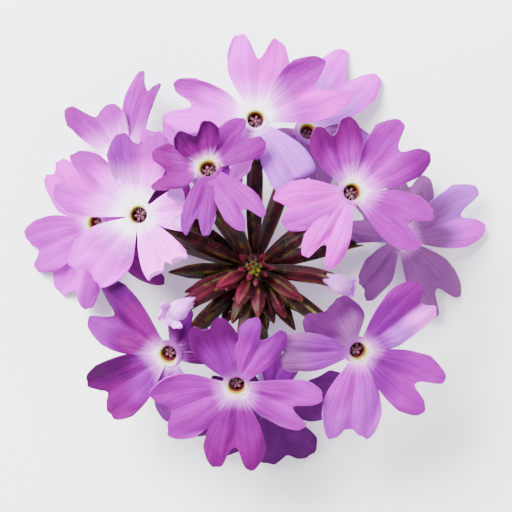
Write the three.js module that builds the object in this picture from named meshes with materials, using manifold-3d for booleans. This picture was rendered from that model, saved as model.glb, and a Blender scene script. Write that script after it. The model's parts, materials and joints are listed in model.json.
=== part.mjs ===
// A picked flower head of garden verbena, lying face up. A short square stalk carries a spike of
// ribbed calyces; thirteen open florets stand out of them on slender tubes, in an upper and a lower
// ring, each with five two-lobed petals round a small open throat. Millimetres, +Z up.
import * as THREE from 'three';
import { mergeVertices } from 'three/addons/utils/BufferGeometryUtils.js';
import Module from 'manifold-3d';

const wasm = await Module();
wasm.setup();

// ---- driving dimensions ---------------------------------------------------------------------
const PETAL_THICK = 0.6;
const PETAL_HALF_WIDTH = 4.3; // at the widest, two thirds of the way out
const CLAW_HALF_WIDTH = 0.95; // where the petal leaves the throat
const PETAL_ROOT = 1.2; // the petals start this far from the middle of the eye
const NOTCH_DEPTH = 0.265; // of the petal's length, between its two lobes
const SHOULDER = 0.24; // how far the outer corners of the lobes are rounded back
const CREASE = 0.35; // depth of the fold along a petal's middle
// Steps along a petal, and across it from edge to edge; fewer where the upper ring covers it.
const UPPER_GRID = { rows: 4, across: [-1, -0.86, -0.55, 0, 0.55, 0.86, 1] };
const LOWER_GRID = { rows: 3, across: [-1, -0.68, 0, 0.68, 1] };

const THROAT_RADIUS = 0.95;
const THROAT_DEPTH = 3;
const RIM_RADIUS = 1.9; // the flat ring round the throat that the petals grow from
const TUBE_RADIUS = 0.5; // of a floret's tube where it leaves its calyx
const TUBE_SIDES = 7;
const TUBE_INSIDE = 1.4; // how far the tube starts below the calyx mouth

const CALYX_SHARE = 0.66; // of the way along the stem's curve, from the spike to the eye
const BUD_CALYX_SHARE = 0.74;
const CALYX_RADIUS = 1.35;
const CALYX_BORE = 0.98; // the open mouth round the tube
const CALYX_BORE_DEPTH = 1.8;
const CALYX_SIDES = 5; // a rib along each corner
const TOOTH_LENGTH = 1.2;
const TOOTH_RADIUS = 0.36;

const AXIS_X = -0.2;
const AXIS_Y = -2;
const STALK_WIDTH = 2.3; // a verbena's stalk is square
const STALK_FOOT = 0.6; // the cut end hangs just clear of the surface
const SPIKE_FOOT = 4;
const SPIKE_RADIUS = 1.6;
const SPIKE_TOP = 14;
const BUD_RADIUS = 1.4;
const BRACTS = 6;
const TIP_BUDS = 6;
const GOLDEN_ANGLE = Math.PI * (3 - Math.sqrt(5));

const PETAL_FINISH = { color: 0xc77fe0, roughness: 0.55 };
const BUD_FINISH = { color: 0xc9a9ea, roughness: 0.5 };
const CALYX_FINISH = { color: 0x5a1a26, roughness: 0.5 };
const TIP_FINISH = { color: 0x6b7a2c, roughness: 0.6 };

const UP = new THREE.Vector3(0, 0, 1);
const rad = THREE.MathUtils.degToRad;
const clamp = THREE.MathUtils.clamp;
const smooth = THREE.MathUtils.smoothstep;

// ---- the florets ------------------------------------------------------------------------------
// A petal: the way it points seen from above, in degrees from +X, its length from the middle of
// the eye along its surface, and how it is shaped where it isn't plain:
//   wide    times the usual width         full    0 for a wedge, 1 for an oval
//   notch   times the usual notch         skew    how much longer its left lobe is than its right
//   rise    the angle at which it leaves the eye
//   bend    how far it has turned down or up at its tip
//   fold    a sharper turn, at foldAt of its length
//   left, right   how far that lobe rolls up (+) or down (-), seen from the eye
const petal = (at, long, shape = {}) => ({
  at, long, wide: 1, full: 0.4, notch: 1, skew: 0,
  rise: 8, bend: -22, fold: 0, foldAt: 0.6, left: -12, right: -12, ...shape,
});

// A floret: the middle of its eye, how far its face leans and towards which way, the height at
// which its calyx leaves the spike, and its petals. One that rests has no height of its own: it
// hangs just low enough for its lowest petal to touch the surface.
const upperFlorets = {
  upper_1: { eye: [0, 18.5, 17], lean: 14, towards: 95, foot: 9, petals: [
    petal(87, 12, { full: 0.9, skew: 0.05, bend: -34, fold: 26, foldAt: 0.45, left: 0, right: 0 }),
    petal(27, 12.9, { wide: 1.12, full: 0.5, skew: -0.07, rise: 10, bend: -14, left: 40 }),
    petal(305, 12.2, { wide: 0.78, full: 0.7, notch: 0.3, rise: 4, fold: -120, foldAt: 0.86, left: 0, right: -10 }),
    petal(235, 9, { wide: 0.75, rise: -2, bend: -24 }),
    petal(167, 12.6, { wide: 0.96, left: 0, right: 75 }),
  ] },
  upper_2: { eye: [-6.5, 11.6, 21.5], lean: 26, towards: 110, foot: 11.5, petals: [
    petal(42, 8.8, { wide: 0.84, left: 10, right: -30 }),
    petal(112, 7, { wide: 0.8, rise: 30, bend: 45, left: 45, right: 20 }),
    petal(184, 7.8, { wide: 0.9, rise: 12, left: 40, right: 20 }),
    petal(257, 9.8, { wide: 0.56, rise: 0, bend: -16 }),
    petal(311, 10.6, { wide: 0.66, rise: 2, bend: -14 }),
  ] },
  upper_3: { eye: [13.2, 8.4, 20], lean: 14, towards: 40, foot: 10.5, petals: [
    petal(41, 12.6, { wide: 1.12, skew: -0.03, left: 12, right: -40 }),
    petal(111, 10.6, { wide: 0.9, notch: 0.8, rise: 12, bend: 24, left: 16, right: 16 }),
    petal(194, 10.8, { wide: 0.82, full: 0.6, notch: 0.45, bend: -18 }),
    petal(243, 11.4, { wide: 0.72, bend: -18 }),
    petal(332, 12, { wide: 0.94, bend: -14 }),
  ] },
  upper_4: { eye: [-16.1, 5.3, 17.8], lean: 12, towards: 150, foot: 9.5, petals: [
    petal(91, 11.8, { wide: 1.05, full: 0.3, notch: 0.5, rise: 4, bend: -24, left: 30, right: -10 }),
    petal(150, 12.8, { wide: 1.05, bend: -26, fold: 10, foldAt: 0.5 }),
    petal(227, 11.5, { wide: 0.98, full: 0.8, notch: 0.3, skew: -0.05, bend: -30 }),
    petal(299, 10.4, { wide: 0.76, bend: -14, fold: 120, foldAt: 0.82 }),
    petal(8, 9.2, { wide: 0.75, rise: 4, bend: -10, fold: 150, foldAt: 0.72 }),
  ] },
  upper_5: { eye: [-12, -13.9, 17], lean: 24, towards: 220, foot: 8.5, petals: [
    petal(147, 13.2, { wide: 1.1, skew: -0.1, rise: 1, bend: -18, left: 80, right: -10 }),
    petal(213, 13.4, { wide: 1.05, full: 0.6, notch: 0.5, left: 20, right: 45 }),
    petal(275, 12.6, { wide: 0.9, rise: -8, bend: -30 }),
    petal(1, 8.6, { wide: 0.5, rise: -16, bend: -20 }),
    petal(48, 7, { wide: 0.9, full: 0.7, rise: -30, bend: -22, left: -10, right: -10 }),
  ] },
  upper_6: { eye: [-2.6, -18.1, 19.4], lean: 20, towards: 262, foot: 9.5, petals: [
    petal(116, 10.4, { wide: 0.78, notch: 0.45, rise: 12, bend: -16 }),
    petal(61, 10.5, { wide: 0.82, rise: 12, bend: -20, right: -40 }),
    petal(338, 11.7, { skew: 0.05, left: 0, right: -60 }),
    petal(268, 12.6, { wide: 1, bend: -44, fold: 30, foldAt: 0.5 }),
    petal(202, 11.9, { wide: 1.2, full: 0.6, notch: 0.6, skew: 0.03, left: -30, right: 15 }),
  ] },
  upper_7: { eye: [14.1, -13.4, 18], lean: 18, towards: 318, foot: 9, petals: [
    petal(36, 12.6, { full: 0.8, notch: 0.4, left: 12, right: -70 }),
    petal(128, 8.3, { wide: 1, full: 0.8, notch: 0.4, skew: 0.08, rise: 14, bend: -34, left: -20, right: 50 }),
    petal(181, 12.2, { wide: 0.64, full: 0.9, notch: 0.4, rise: 10, fold: -90, foldAt: 0.88 }),
    petal(265, 12.8, { wide: 1, full: 0.8, notch: 0.45, left: -20, right: -10 }),
    petal(330, 13.2, { wide: 1.02, bend: -26, fold: 14, foldAt: 0.5 }),
  ] },
};

const lowerFlorets = {
  lower_1: { eye: [-22.6, 4.2], lean: 36, towards: 190, foot: 5.5, petals: [
    petal(204, 12.2, { wide: 0.92, full: 0.8, notch: 0.4, rise: 16, left: 10, right: 20 }),
    petal(130, 11, { wide: 0.8, full: 0.8, notch: 0.2, rise: 10 }),
    petal(250, 12.8, { full: 0.7, notch: 0.5, rise: 6, left: 20, right: 20 }),
    petal(50, 7.4, { wide: 0.8, rise: -24, bend: -30 }),
    petal(318, 13.1, { wide: 0.85, rise: -14, bend: -20 }),
  ] },
  lower_2: { eye: [-18.6, 12.8, 10.8], lean: 30, towards: 105, foot: 7.2, petals: [
    petal(122, 10.8, { wide: 0.95, notch: 0.7, skew: 0.24, rise: 12, left: 0, right: 60 }),
    petal(72, 14.2, { wide: 0.66, notch: 0.6, skew: 0.1, rise: 12, left: -20, right: 90 }),
    petal(190, 7.6, { wide: 0.8, rise: -2, bend: -30 }),
    petal(30, 7.8, { wide: 0.62, rise: 0, bend: -20, right: -70 }),
    petal(285, 6.2, { wide: 0.6, rise: -20, bend: -20 }),
  ] },
  lower_3: { eye: [7.4, 17.2], lean: 32, towards: 56, foot: 6.5, petals: [
    petal(53, 14.4, { wide: 1.14, rise: 14, bend: -16 }),
    petal(98, 11.6, { rise: 10, right: 20 }),
    petal(344, 11.2, { rise: 2, bend: -30 }),
    petal(278, 9, { wide: 0.8, rise: -10, bend: -40 }),
    petal(198, 6, { wide: 0.6, rise: -30, bend: -20 }),
  ] },
  lower_4: { eye: [20.4, 2.2], lean: 30, towards: 345, foot: 5, petals: [
    petal(22, 13.7, { wide: 1.08, rise: 14, bend: -16 }),
    petal(306, 13.6, { rise: 8, bend: -16 }),
    petal(237, 9.2, { wide: 0.62, full: 0.8, notch: 0.1, skew: 0.15, rise: 4, bend: -20, left: 30, right: 20 }),
    petal(72, 10.6, { rise: 0, bend: -40 }),
    petal(150, 8.2, { wide: 0.75, rise: -20, bend: -20 }),
  ] },
  lower_5: { eye: [1.8, -20.4], lean: 34, towards: 290, foot: 4.5, petals: [
    petal(288, 12.5, { wide: 1.12, full: 0.1, notch: 0.35, skew: 0.1, rise: 8, bend: -24 }),
    petal(356, 12, { rise: 2, bend: -26 }),
    petal(222, 12.4, { rise: 2, bend: -28 }),
    petal(62, 8, { wide: 0.75, rise: -22, bend: -20 }),
    petal(160, 8.6, { wide: 0.75, rise: -22, bend: -20 }),
  ] },
  lower_6: { eye: [-9.8, 12.7, 14.6], lean: 20, towards: 120, foot: 9.5, petals: [
    petal(128, 7.8, { wide: 0.75, rise: 4, bend: -14 }),
    petal(196, 8, { wide: 0.7, rise: 6, bend: -24 }),
    petal(240, 7.4, { wide: 0.85, rise: -6, bend: -24 }),
    petal(356, 8.6, { wide: 0.62, rise: -2, bend: -20 }),
    petal(64, 7.4, { wide: 0.75, rise: -4, bend: -26 }),
  ] },
};

// Buds that have coloured but not opened: the middle of the end, as an eye, and the lobes that
// have begun to part.
const buds = {
  left: { eye: [-11, -8.1, 20.4], lean: 44, towards: 222, foot: 11, petals: [
    petal(150, 2.9, { wide: 0.4, rise: 40, bend: 60, left: 20, right: 20 }),
    petal(260, 2.7, { wide: 0.4, rise: 40, bend: 60, left: 20, right: 20 }),
  ] },
  right: { eye: [12.4, -4.6, 13], lean: 48, towards: 330, foot: 9.5, petals: [
    petal(15, 2, { wide: 0.22, full: 1, notch: 0.1, rise: 18, bend: 8 }),
    petal(290, 2.4, { wide: 0.22, full: 1, notch: 0.1, rise: 18, bend: 8 }),
  ] },
};

// Calyces with a bud still inside, or that have dropped their floret: the tip and the foot's height.
const closedCalyces = [
  { tip: [-12.2, -2.6, 11.4], foot: 8 },
  { tip: [-9.9, -5.4, 12.2], foot: 9 },
  { tip: [-5.4, -4.8, 17.2], foot: 12.2 },
  { tip: [-2.6, -7.4, 17], foot: 12 },
  { tip: [0.4, -8.8, 15.4], foot: 11 },
  { tip: [2.6, -9.8, 12.4], foot: 9 },
  { tip: [5.6, -10.8, 9.8], foot: 7 },
  { tip: [6.6, -6.6, 13.6], foot: 10.4 },
  { tip: [7.4, 2.8, 14.4], foot: 11 },

  { tip: [-3.3, -9.8, 13.4], foot: 10 },
  { tip: [-6.8, -8.2, 12.6], foot: 9.4 },
  { tip: [1.6, -11, 9.6], foot: 7.4 },
  { tip: [4.2, -9, 12.2], foot: 9 },
  { tip: [-5, -10.4, 9.2], foot: 6.6 },
  { tip: [-1.2, -10.8, 9.6], foot: 7 },
  { tip: [7.4, -8.8, 9.6], foot: 6.8 },
];

// ---- small helpers ------------------------------------------------------------------------------
function solidOf(geometry) {
  geometry.deleteAttribute('normal');
  geometry.deleteAttribute('uv');
  const merged = mergeVertices(geometry, 1e-4);
  const mesh = new wasm.Mesh({
    numProp: 3,
    vertProperties: new Float32Array(merged.attributes.position.array),
    triVerts: new Uint32Array(merged.index.array),
  });
  return new wasm.Manifold(mesh);
}

// The largest of the bodies that a join leaves, as a geometry.
function geometryOf(solid) {
  const bodies = solid.decompose();
  bodies.sort((a, b) => b.volume() - a.volume());
  const mesh = bodies[0].getMesh();
  const geometry = new THREE.BufferGeometry();
  geometry.setAttribute('position', new THREE.BufferAttribute(new Float32Array(mesh.vertProperties), 3));
  geometry.setIndex(new THREE.BufferAttribute(new Uint32Array(mesh.triVerts), 1));
  geometry.computeVertexNormals();
  return geometry;
}

const joined = (solids) => solids.reduce((all, next) => all.add(next));

// A lathe's profile, [radius, height] from the axis back to the axis, bent along a curve: the
// profile's height is the length along the curve, and past its end it goes on straight.
function latheAlong(curve, profile, sides) {
  const points = profile.map(([radius, height]) => new THREE.Vector2(radius, height));
  const geometry = new THREE.LatheGeometry(points, sides);
  const length = curve.getLength();
  const chord = curve.getPoint(1).sub(curve.getPoint(0));
  const level = new THREE.Vector3(-chord.y, chord.x, 0).normalize();
  const place = geometry.attributes.position;
  const spot = new THREE.Vector3();
  for (let i = 0; i < place.count; i += 1) {
    spot.fromBufferAttribute(place, i);
    const along = clamp(spot.y / length, 0, 1);
    const heading = curve.getTangentAt(along);
    const sideways = level.clone().addScaledVector(heading, -level.dot(heading)).normalize();
    const across = new THREE.Vector3().crossVectors(heading, sideways);
    const end = curve.getPointAt(along);
    end.addScaledVector(heading, spot.y - along * length);
    end.addScaledVector(sideways, spot.x);
    end.addScaledVector(across, -spot.z);
    place.setXYZ(i, end.x, end.y, end.z);
  }
  return geometry;
}

// ---- petals ---------------------------------------------------------------------------------------
function lobeReach(shape, v) {
  const notch = NOTCH_DEPTH * shape.notch * Math.exp(-((Math.abs(v) / 0.316) ** 2.25));
  return (1 - notch - SHOULDER * Math.abs(v) ** 7) * (1 + shape.skew * v);
}

// From a wedge, with straight sides, to an oval that is wide from its middle on.
function halfWidth(shape, u) {
  const wedge = u * (1.15 - 0.15 * u * u);
  const oval = Math.sin((Math.PI / 2) * Math.min(1, u / 0.82)) ** 1.25;
  const spread = wedge + (oval - wedge) * shape.full;
  return CLAW_HALF_WIDTH + (PETAL_HALF_WIDTH * shape.wide - CLAW_HALF_WIDTH) * spread;
}

// The angle above the floret's own plane at a part, t, of the petal's length.
const slope = (shape, t) =>
  rad(shape.rise + shape.bend * t ** 1.4 + shape.fold * smooth(t, shape.foldAt - 0.09, shape.foldAt + 0.09));

// A point of the middle sheet, in the petal's own axes: x out, y to its left, z up.
function sheetPoint(shape, u, v) {
  const reach = shape.long * lobeReach(shape, v);
  const arc = PETAL_ROOT + (reach - PETAL_ROOT) * u;
  const steps = 16;
  let x = PETAL_ROOT;
  let z = 0;
  for (let i = 0; i < steps; i += 1) {
    const angle = slope(shape, (PETAL_ROOT + ((arc - PETAL_ROOT) * (i + 0.5)) / steps) / shape.long);
    x += ((arc - PETAL_ROOT) / steps) * Math.cos(angle);
    z += ((arc - PETAL_ROOT) / steps) * Math.sin(angle);
  }
  // across: straight to a third of the way, then rolling up or down towards the edge
  const roll = rad(v > 0 ? shape.left : shape.right) * smooth(u, 0.1, 0.75);
  const flat = 0.3;
  const outer = Math.max(0, Math.abs(v) - flat);
  const curl = (roll * outer) / (1 - flat);
  const arm = Math.abs(curl) < 1e-3 ? outer : (outer * Math.sin(curl)) / curl;
  const lift = Math.abs(curl) < 1e-3 ? 0 : (outer * (1 - Math.cos(curl))) / curl;
  const width = halfWidth(shape, u);
  const y = Math.sign(v) * width * (Math.min(Math.abs(v), flat) + arm);
  const ruffle = 0.25 * Math.sin(u * 7 + shape.at) * v * v * u;
  const crease = -CREASE * Math.exp(-((v / 0.3) ** 2)) * smooth(u, 0.05, 0.4);
  const height = width * lift + ruffle + crease;
  const tilt = slope(shape, arc / shape.long);
  return new THREE.Vector3(x - height * Math.sin(tilt), y, z + height * Math.cos(tilt));
}

function petalGeometry(shape, grid) {
  const rows = grid.rows + 1;
  const columns = grid.across.length;
  const positions = [];
  const step = 0.02;
  for (const side of [1, -1]) {
    for (let i = 0; i < rows; i += 1) {
      for (const v of grid.across) {
        const u = i / grid.rows;
        const [near, far] = [clamp(u - step, 0, 1), clamp(u + step, 0, 1)];
        const out = sheetPoint(shape, far, v).sub(sheetPoint(shape, near, v));
        const wide = sheetPoint(shape, u, v + step).sub(sheetPoint(shape, u, v - step));
        const normal = out.cross(wide).normalize();
        const spot = sheetPoint(shape, u, v).addScaledVector(normal, (side * PETAL_THICK) / 2);
        positions.push(spot.x, spot.y, spot.z);
      }
    }
  }
  const index = [];
  const quad = (a, b, c, d) => index.push(a, b, c, a, c, d);
  const under = rows * columns;
  for (let i = 0; i < rows - 1; i += 1) {
    for (let j = 0; j < columns - 1; j += 1) {
      const a = i * columns + j;
      const [b, c, d] = [a + columns, a + columns + 1, a + 1];
      index.push(a, b, c, a, c, d);
      index.push(a + under, c + under, b + under, a + under, d + under, c + under);
    }
  }
  const rim = [];
  for (let j = 0; j < columns; j += 1) rim.push(j);
  for (let i = 1; i < rows; i += 1) rim.push(i * columns + columns - 1);
  for (let j = columns - 2; j >= 0; j -= 1) rim.push((rows - 1) * columns + j);
  for (let i = rows - 2; i > 0; i -= 1) rim.push(i * columns);
  rim.forEach((a, k) => {
    const b = rim[(k + 1) % rim.length];
    quad(a, b, b + under, a + under);
  });
  const geometry = new THREE.BufferGeometry();
  geometry.setAttribute('position', new THREE.BufferAttribute(new Float32Array(positions), 3));
  geometry.setIndex(index);
  return geometry;
}

// ---- florets ----------------------------------------------------------------------------------------
function faceOf(floret) {
  const lean = rad(floret.lean);
  const way = rad(floret.towards);
  return new THREE.Vector3(
    Math.sin(lean) * Math.cos(way), Math.sin(lean) * Math.sin(way), Math.cos(lean),
  );
}

// The curve from the spike through the calyx and along the tube to the middle of the eye.
function stemCurve(eye, face, foot) {
  const outward = new THREE.Vector3(eye.x - AXIS_X, eye.y - AXIS_Y, 0);
  const reach = outward.length();
  outward.normalize();
  const start = new THREE.Vector3(AXIS_X, AXIS_Y, foot);
  const leave = start.clone().addScaledVector(outward, reach * 0.45).addScaledVector(UP, reach * 0.12);
  const arrive = eye.clone().addScaledVector(face, -reach * 0.42);
  return new THREE.CubicBezierCurve3(start, leave, arrive, eye.clone());
}

function petalFrame(eye, face, at) {
  const way = new THREE.Vector3(Math.cos(rad(at)), Math.sin(rad(at)), 0);
  way.z = -(way.x * face.x + way.y * face.y) / face.z;
  way.normalize();
  const left = new THREE.Vector3().crossVectors(face, way);
  const frame = new THREE.Matrix4().makeBasis(way, left, face);
  return frame.setPosition(eye);
}

function bladesOf(floret, eye) {
  const face = faceOf(floret);
  const grid = Object.values(upperFlorets).includes(floret) ? UPPER_GRID : LOWER_GRID;
  return floret.petals.map((shape) => {
    const blade = petalGeometry(shape, grid);
    return blade.applyMatrix4(petalFrame(eye, face, shape.at));
  });
}

// The middle of the eye. A floret that rests gets the height that brings its lowest petal to zero.
function eyeOf(floret) {
  const [x, y, height = 0] = floret.eye;
  const eye = new THREE.Vector3(x, y, height);
  if (floret.eye.length === 3) return eye;
  const box = new THREE.Box3();
  for (const blade of bladesOf(floret, eye)) {
    blade.computeBoundingBox();
    box.union(blade.boundingBox);
  }
  eye.z = -box.min.z;
  return eye;
}

const curveOf = (floret) => stemCurve(eyeOf(floret), faceOf(floret), floret.foot);

// How far along its curve the calyx of a floret or bud ends.
function mouthOf(floret) {
  const share = Object.values(buds).includes(floret) ? BUD_CALYX_SHARE : CALYX_SHARE;
  return curveOf(floret).getLength() * share;
}

// An open floret: tube, rim and throat in one, with the petals grown on.
function corolla(floret) {
  const curve = curveOf(floret);
  const end = curve.getLength();
  const mouth = mouthOf(floret);
  const start = mouth - TUBE_INSIDE;
  const profile = [
    [0, start], [TUBE_RADIUS, start], [TUBE_RADIUS + 0.05, mouth + 0.8],
    [TUBE_RADIUS + 0.3, mouth + (end - mouth) * 0.4], [THROAT_RADIUS + 0.4, end - 1.6],
    [RIM_RADIUS, end - 0.45], [RIM_RADIUS, end + 0.35],
    [THROAT_RADIUS + 0.1, end + 0.4], [THROAT_RADIUS, end - 0.4],
    [THROAT_RADIUS - 0.35, end - THROAT_DEPTH], [0, end - THROAT_DEPTH],
  ];
  const tube = solidOf(latheAlong(curve, profile, TUBE_SIDES));
  return joined([tube, ...bladesOf(floret, eyeOf(floret)).map(solidOf)]);
}

// A coloured bud: the tube swells to a round end, with a few lobes coming away from it.
function bud(shape) {
  const curve = curveOf(shape);
  const end = curve.getLength();
  const mouth = mouthOf(shape);
  const profile = [
    [0, mouth - TUBE_INSIDE], [TUBE_RADIUS, mouth - TUBE_INSIDE], [TUBE_RADIUS + 0.05, mouth + 0.1],
    [BUD_RADIUS, end - 1.4], [BUD_RADIUS, end - 0.3], [BUD_RADIUS * 0.6, end + 0.6], [0, end + 0.8],
  ];
  const tube = solidOf(latheAlong(curve, profile, TUBE_SIDES));
  return joined([tube, ...bladesOf(shape, eyeOf(shape)).map(solidOf)]);
}

// ---- spike and calyces ------------------------------------------------------------------------------
// An open calyx: a ribbed cup round the foot of the tube, with five awl-shaped teeth at its mouth.
function openCalyx(floret) {
  const curve = curveOf(floret);
  const mouth = mouthOf(floret);
  const profile = [
    [0, 1], [0.6, 1], [CALYX_RADIUS * 0.9, mouth * 0.35], [CALYX_RADIUS, mouth * 0.65],
    [CALYX_RADIUS, mouth], [CALYX_BORE, mouth],
    [CALYX_BORE, mouth - CALYX_BORE_DEPTH], [0, mouth - CALYX_BORE_DEPTH],
  ];
  const pieces = [solidOf(latheAlong(curve, profile, CALYX_SIDES))];
  const along = mouth / curve.getLength();
  const middle = curve.getPointAt(along);
  const heading = curve.getTangentAt(along);
  const side = new THREE.Vector3(-heading.y, heading.x, 0).normalize();
  const across = new THREE.Vector3().crossVectors(heading, side);
  for (let i = 0; i < 5; i += 1) {
    const turn = (i * 2 * Math.PI) / 5;
    const out = side.clone().multiplyScalar(Math.cos(turn)).addScaledVector(across, -Math.sin(turn));
    const tooth = new THREE.ConeGeometry(TOOTH_RADIUS, TOOTH_LENGTH + 0.6, 3);
    const lean = heading.clone().addScaledVector(out, 0.22).normalize();
    tooth.applyQuaternion(new THREE.Quaternion().setFromUnitVectors(new THREE.Vector3(0, 1, 0), lean));
    const root = middle.clone().addScaledVector(out, CALYX_RADIUS - 0.05);
    root.addScaledVector(lean, TOOTH_LENGTH / 2 - 0.3);
    tooth.translate(root.x, root.y, root.z);
    pieces.push(solidOf(tooth));
  }
  return joined(pieces);
}

function closedCalyx({ tip, foot }) {
  const end = new THREE.Vector3(...tip);
  const outward = end.clone().sub(new THREE.Vector3(AXIS_X, AXIS_Y, foot)).normalize();
  const curve = stemCurve(end, outward, foot);
  const long = curve.getLength();
  const profile = [
    [0, 1], [0.6, 1], [CALYX_RADIUS * 0.9, long * 0.42], [CALYX_RADIUS, long * 0.64],
    [CALYX_RADIUS * 0.6, long * 0.86], [0, long],
  ];
  return solidOf(latheAlong(curve, profile, CALYX_SIDES));
}

// The square stalk, cut short, and the round spike that the calyces stand on.
function spike() {
  const half = STALK_WIDTH / 2;
  const corner = half * 0.35;
  const square = new THREE.Shape();
  square.moveTo(half, -half + corner);
  for (let i = 0; i < 4; i += 1) {
    const way = (i * Math.PI) / 2;
    const reach = (half - corner) * Math.SQRT2;
    const middle = way + Math.PI / 4;
    square.absarc(reach * Math.cos(middle), reach * Math.sin(middle), corner, way, way + Math.PI / 2);
  }
  const stalk = new THREE.ExtrudeGeometry(square, {
    depth: SPIKE_FOOT + 1 - STALK_FOOT, bevelEnabled: false, curveSegments: 2,
  });
  stalk.translate(AXIS_X, AXIS_Y, STALK_FOOT);
  const profile = [
    [0, SPIKE_FOOT - 1], [SPIKE_RADIUS * 0.7, SPIKE_FOOT - 0.6], [SPIKE_RADIUS, SPIKE_FOOT],
    [SPIKE_RADIUS * 0.8, SPIKE_TOP - 2], [SPIKE_RADIUS * 0.5, SPIKE_TOP], [0, SPIKE_TOP],
  ];
  const core = new THREE.LatheGeometry(profile.map((point) => new THREE.Vector2(...point)), 10);
  core.rotateX(Math.PI / 2);
  core.translate(AXIS_X, AXIS_Y, 0);
  return solidOf(stalk).add(solidOf(core));
}

// Short bracts at the top of the spike, one golden angle after another.
function bracts() {
  const pieces = [];
  for (let i = 0; i < BRACTS; i += 1) {
    const turn = i * GOLDEN_ANGLE;
    const long = 3.4 - i * 0.15;
    const leaf = new THREE.ConeGeometry(0.42, long, 4);
    leaf.scale(1, 1, 0.6);
    leaf.translate(0, long / 2, 0);
    leaf.rotateX(Math.PI / 2);
    leaf.rotateX(-rad(50 - i * 3));
    leaf.rotateZ(turn);
    leaf.translate(AXIS_X - 0.3 * Math.sin(-turn), AXIS_Y, SPIKE_TOP - 2 + i * 0.12);
    pieces.push(solidOf(leaf));
  }
  return joined(pieces);
}

// The green knot of unopened buds at the very top, just clear of the spike.
function tipKnot() {
  const pieces = [];
  for (let i = 0; i < TIP_BUDS; i += 1) {
    const away = 0.24 * Math.sqrt(i) * 1.25;
    const grain = new THREE.SphereGeometry(0.45, 5, 3);
    grain.scale(1, 1, 1.5);
    const turn = i * GOLDEN_ANGLE;
    const drop = away * away * 0.55;
    grain.translate(AXIS_X + away * Math.cos(turn), AXIS_Y + away * Math.sin(turn), SPIKE_TOP + 1.85 - drop);
    pieces.push(solidOf(grain));
  }
  return joined(pieces);
}

// ---- the head --------------------------------------------------------------------------------------
const head = new THREE.Group();

function place(name, solid, finish) {
  const mesh = new THREE.Mesh(geometryOf(solid), new THREE.MeshStandardMaterial(finish));
  mesh.name = name;
  head.add(mesh);
}

const openFlorets = Object.entries({ ...upperFlorets, ...lowerFlorets });
const openBuds = Object.entries(buds);
const calyces = [...openFlorets, ...openBuds].map(([, floret]) => openCalyx(floret));
const spikeParts = [spike(), bracts(), ...calyces, ...closedCalyces.map(closedCalyx)];
place('spike_with_calyces', joined(spikeParts), CALYX_FINISH);
place('spike_tip', tipKnot(), TIP_FINISH);
openFlorets.forEach(([name, floret]) => place(`corolla_${name}`, corolla(floret), PETAL_FINISH));
openBuds.forEach(([name, shape]) => place(`bud_${name}`, bud(shape), BUD_FINISH));

// The origin is the middle of the bounding box, on the surface.
const extent = new THREE.Box3().setFromObject(head);
const middle = extent.getCenter(new THREE.Vector3());
head.position.set(-middle.x, -middle.y, -extent.min.z);

export default head;
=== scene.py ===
# %% [markdown]
# # A flower head of garden verbena
# A verbena head is a short spike. From it stand ribbed, dark red calyces, and out of each
# calyx grows one floret: a slender tube that opens into five petals, each with two round lobes.
# This lesson dresses a plain solid model of such a head. It uses that model's sizes and places,
# written out below, and adds what the solids leave out: thin veined petals, ribs, teeth and hairs.

import json
import math
import random

import bpy
import numpy as np
from mathutils import Matrix, Vector

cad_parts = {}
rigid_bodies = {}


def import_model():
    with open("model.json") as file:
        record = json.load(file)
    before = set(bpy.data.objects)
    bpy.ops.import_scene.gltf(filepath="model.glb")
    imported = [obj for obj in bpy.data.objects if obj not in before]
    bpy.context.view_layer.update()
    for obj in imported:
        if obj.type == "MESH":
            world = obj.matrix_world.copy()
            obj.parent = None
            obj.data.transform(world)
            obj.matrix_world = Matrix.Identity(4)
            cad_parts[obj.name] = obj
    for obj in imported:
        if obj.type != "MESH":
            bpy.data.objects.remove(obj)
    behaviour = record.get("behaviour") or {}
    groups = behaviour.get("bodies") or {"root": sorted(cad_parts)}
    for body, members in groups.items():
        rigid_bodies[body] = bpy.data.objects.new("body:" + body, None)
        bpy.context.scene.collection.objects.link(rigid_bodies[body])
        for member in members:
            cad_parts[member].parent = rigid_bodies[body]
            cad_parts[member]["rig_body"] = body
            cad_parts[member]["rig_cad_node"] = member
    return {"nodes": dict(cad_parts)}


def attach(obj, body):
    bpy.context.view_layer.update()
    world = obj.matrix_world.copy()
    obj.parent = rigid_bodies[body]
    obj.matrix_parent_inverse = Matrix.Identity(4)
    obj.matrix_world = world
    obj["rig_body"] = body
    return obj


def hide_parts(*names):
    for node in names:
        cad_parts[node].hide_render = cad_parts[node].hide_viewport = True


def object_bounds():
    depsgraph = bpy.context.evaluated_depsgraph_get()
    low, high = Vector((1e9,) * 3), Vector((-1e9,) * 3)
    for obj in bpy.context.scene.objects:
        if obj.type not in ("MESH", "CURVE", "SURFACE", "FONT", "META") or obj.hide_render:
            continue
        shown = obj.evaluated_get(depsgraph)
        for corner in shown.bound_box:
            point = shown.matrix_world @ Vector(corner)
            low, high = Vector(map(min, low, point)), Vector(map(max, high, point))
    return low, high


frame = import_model()
cad_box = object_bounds()
MM = 0.001
cad_size = (cad_box[1] - cad_box[0]) / MM
print("nodes:", len(frame["nodes"]), "box in mm:", [round(c, 1) for c in cad_size])

# %% [markdown]
# ## Where the head stands
# All places below are written in millimetres from the spike. The solids may have been shifted
# to centre them, so the shift is measured: the cut end of the square stalk is the lowest part
# of the spike's solid, and its middle shows where the spike's axis now is.

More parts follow.
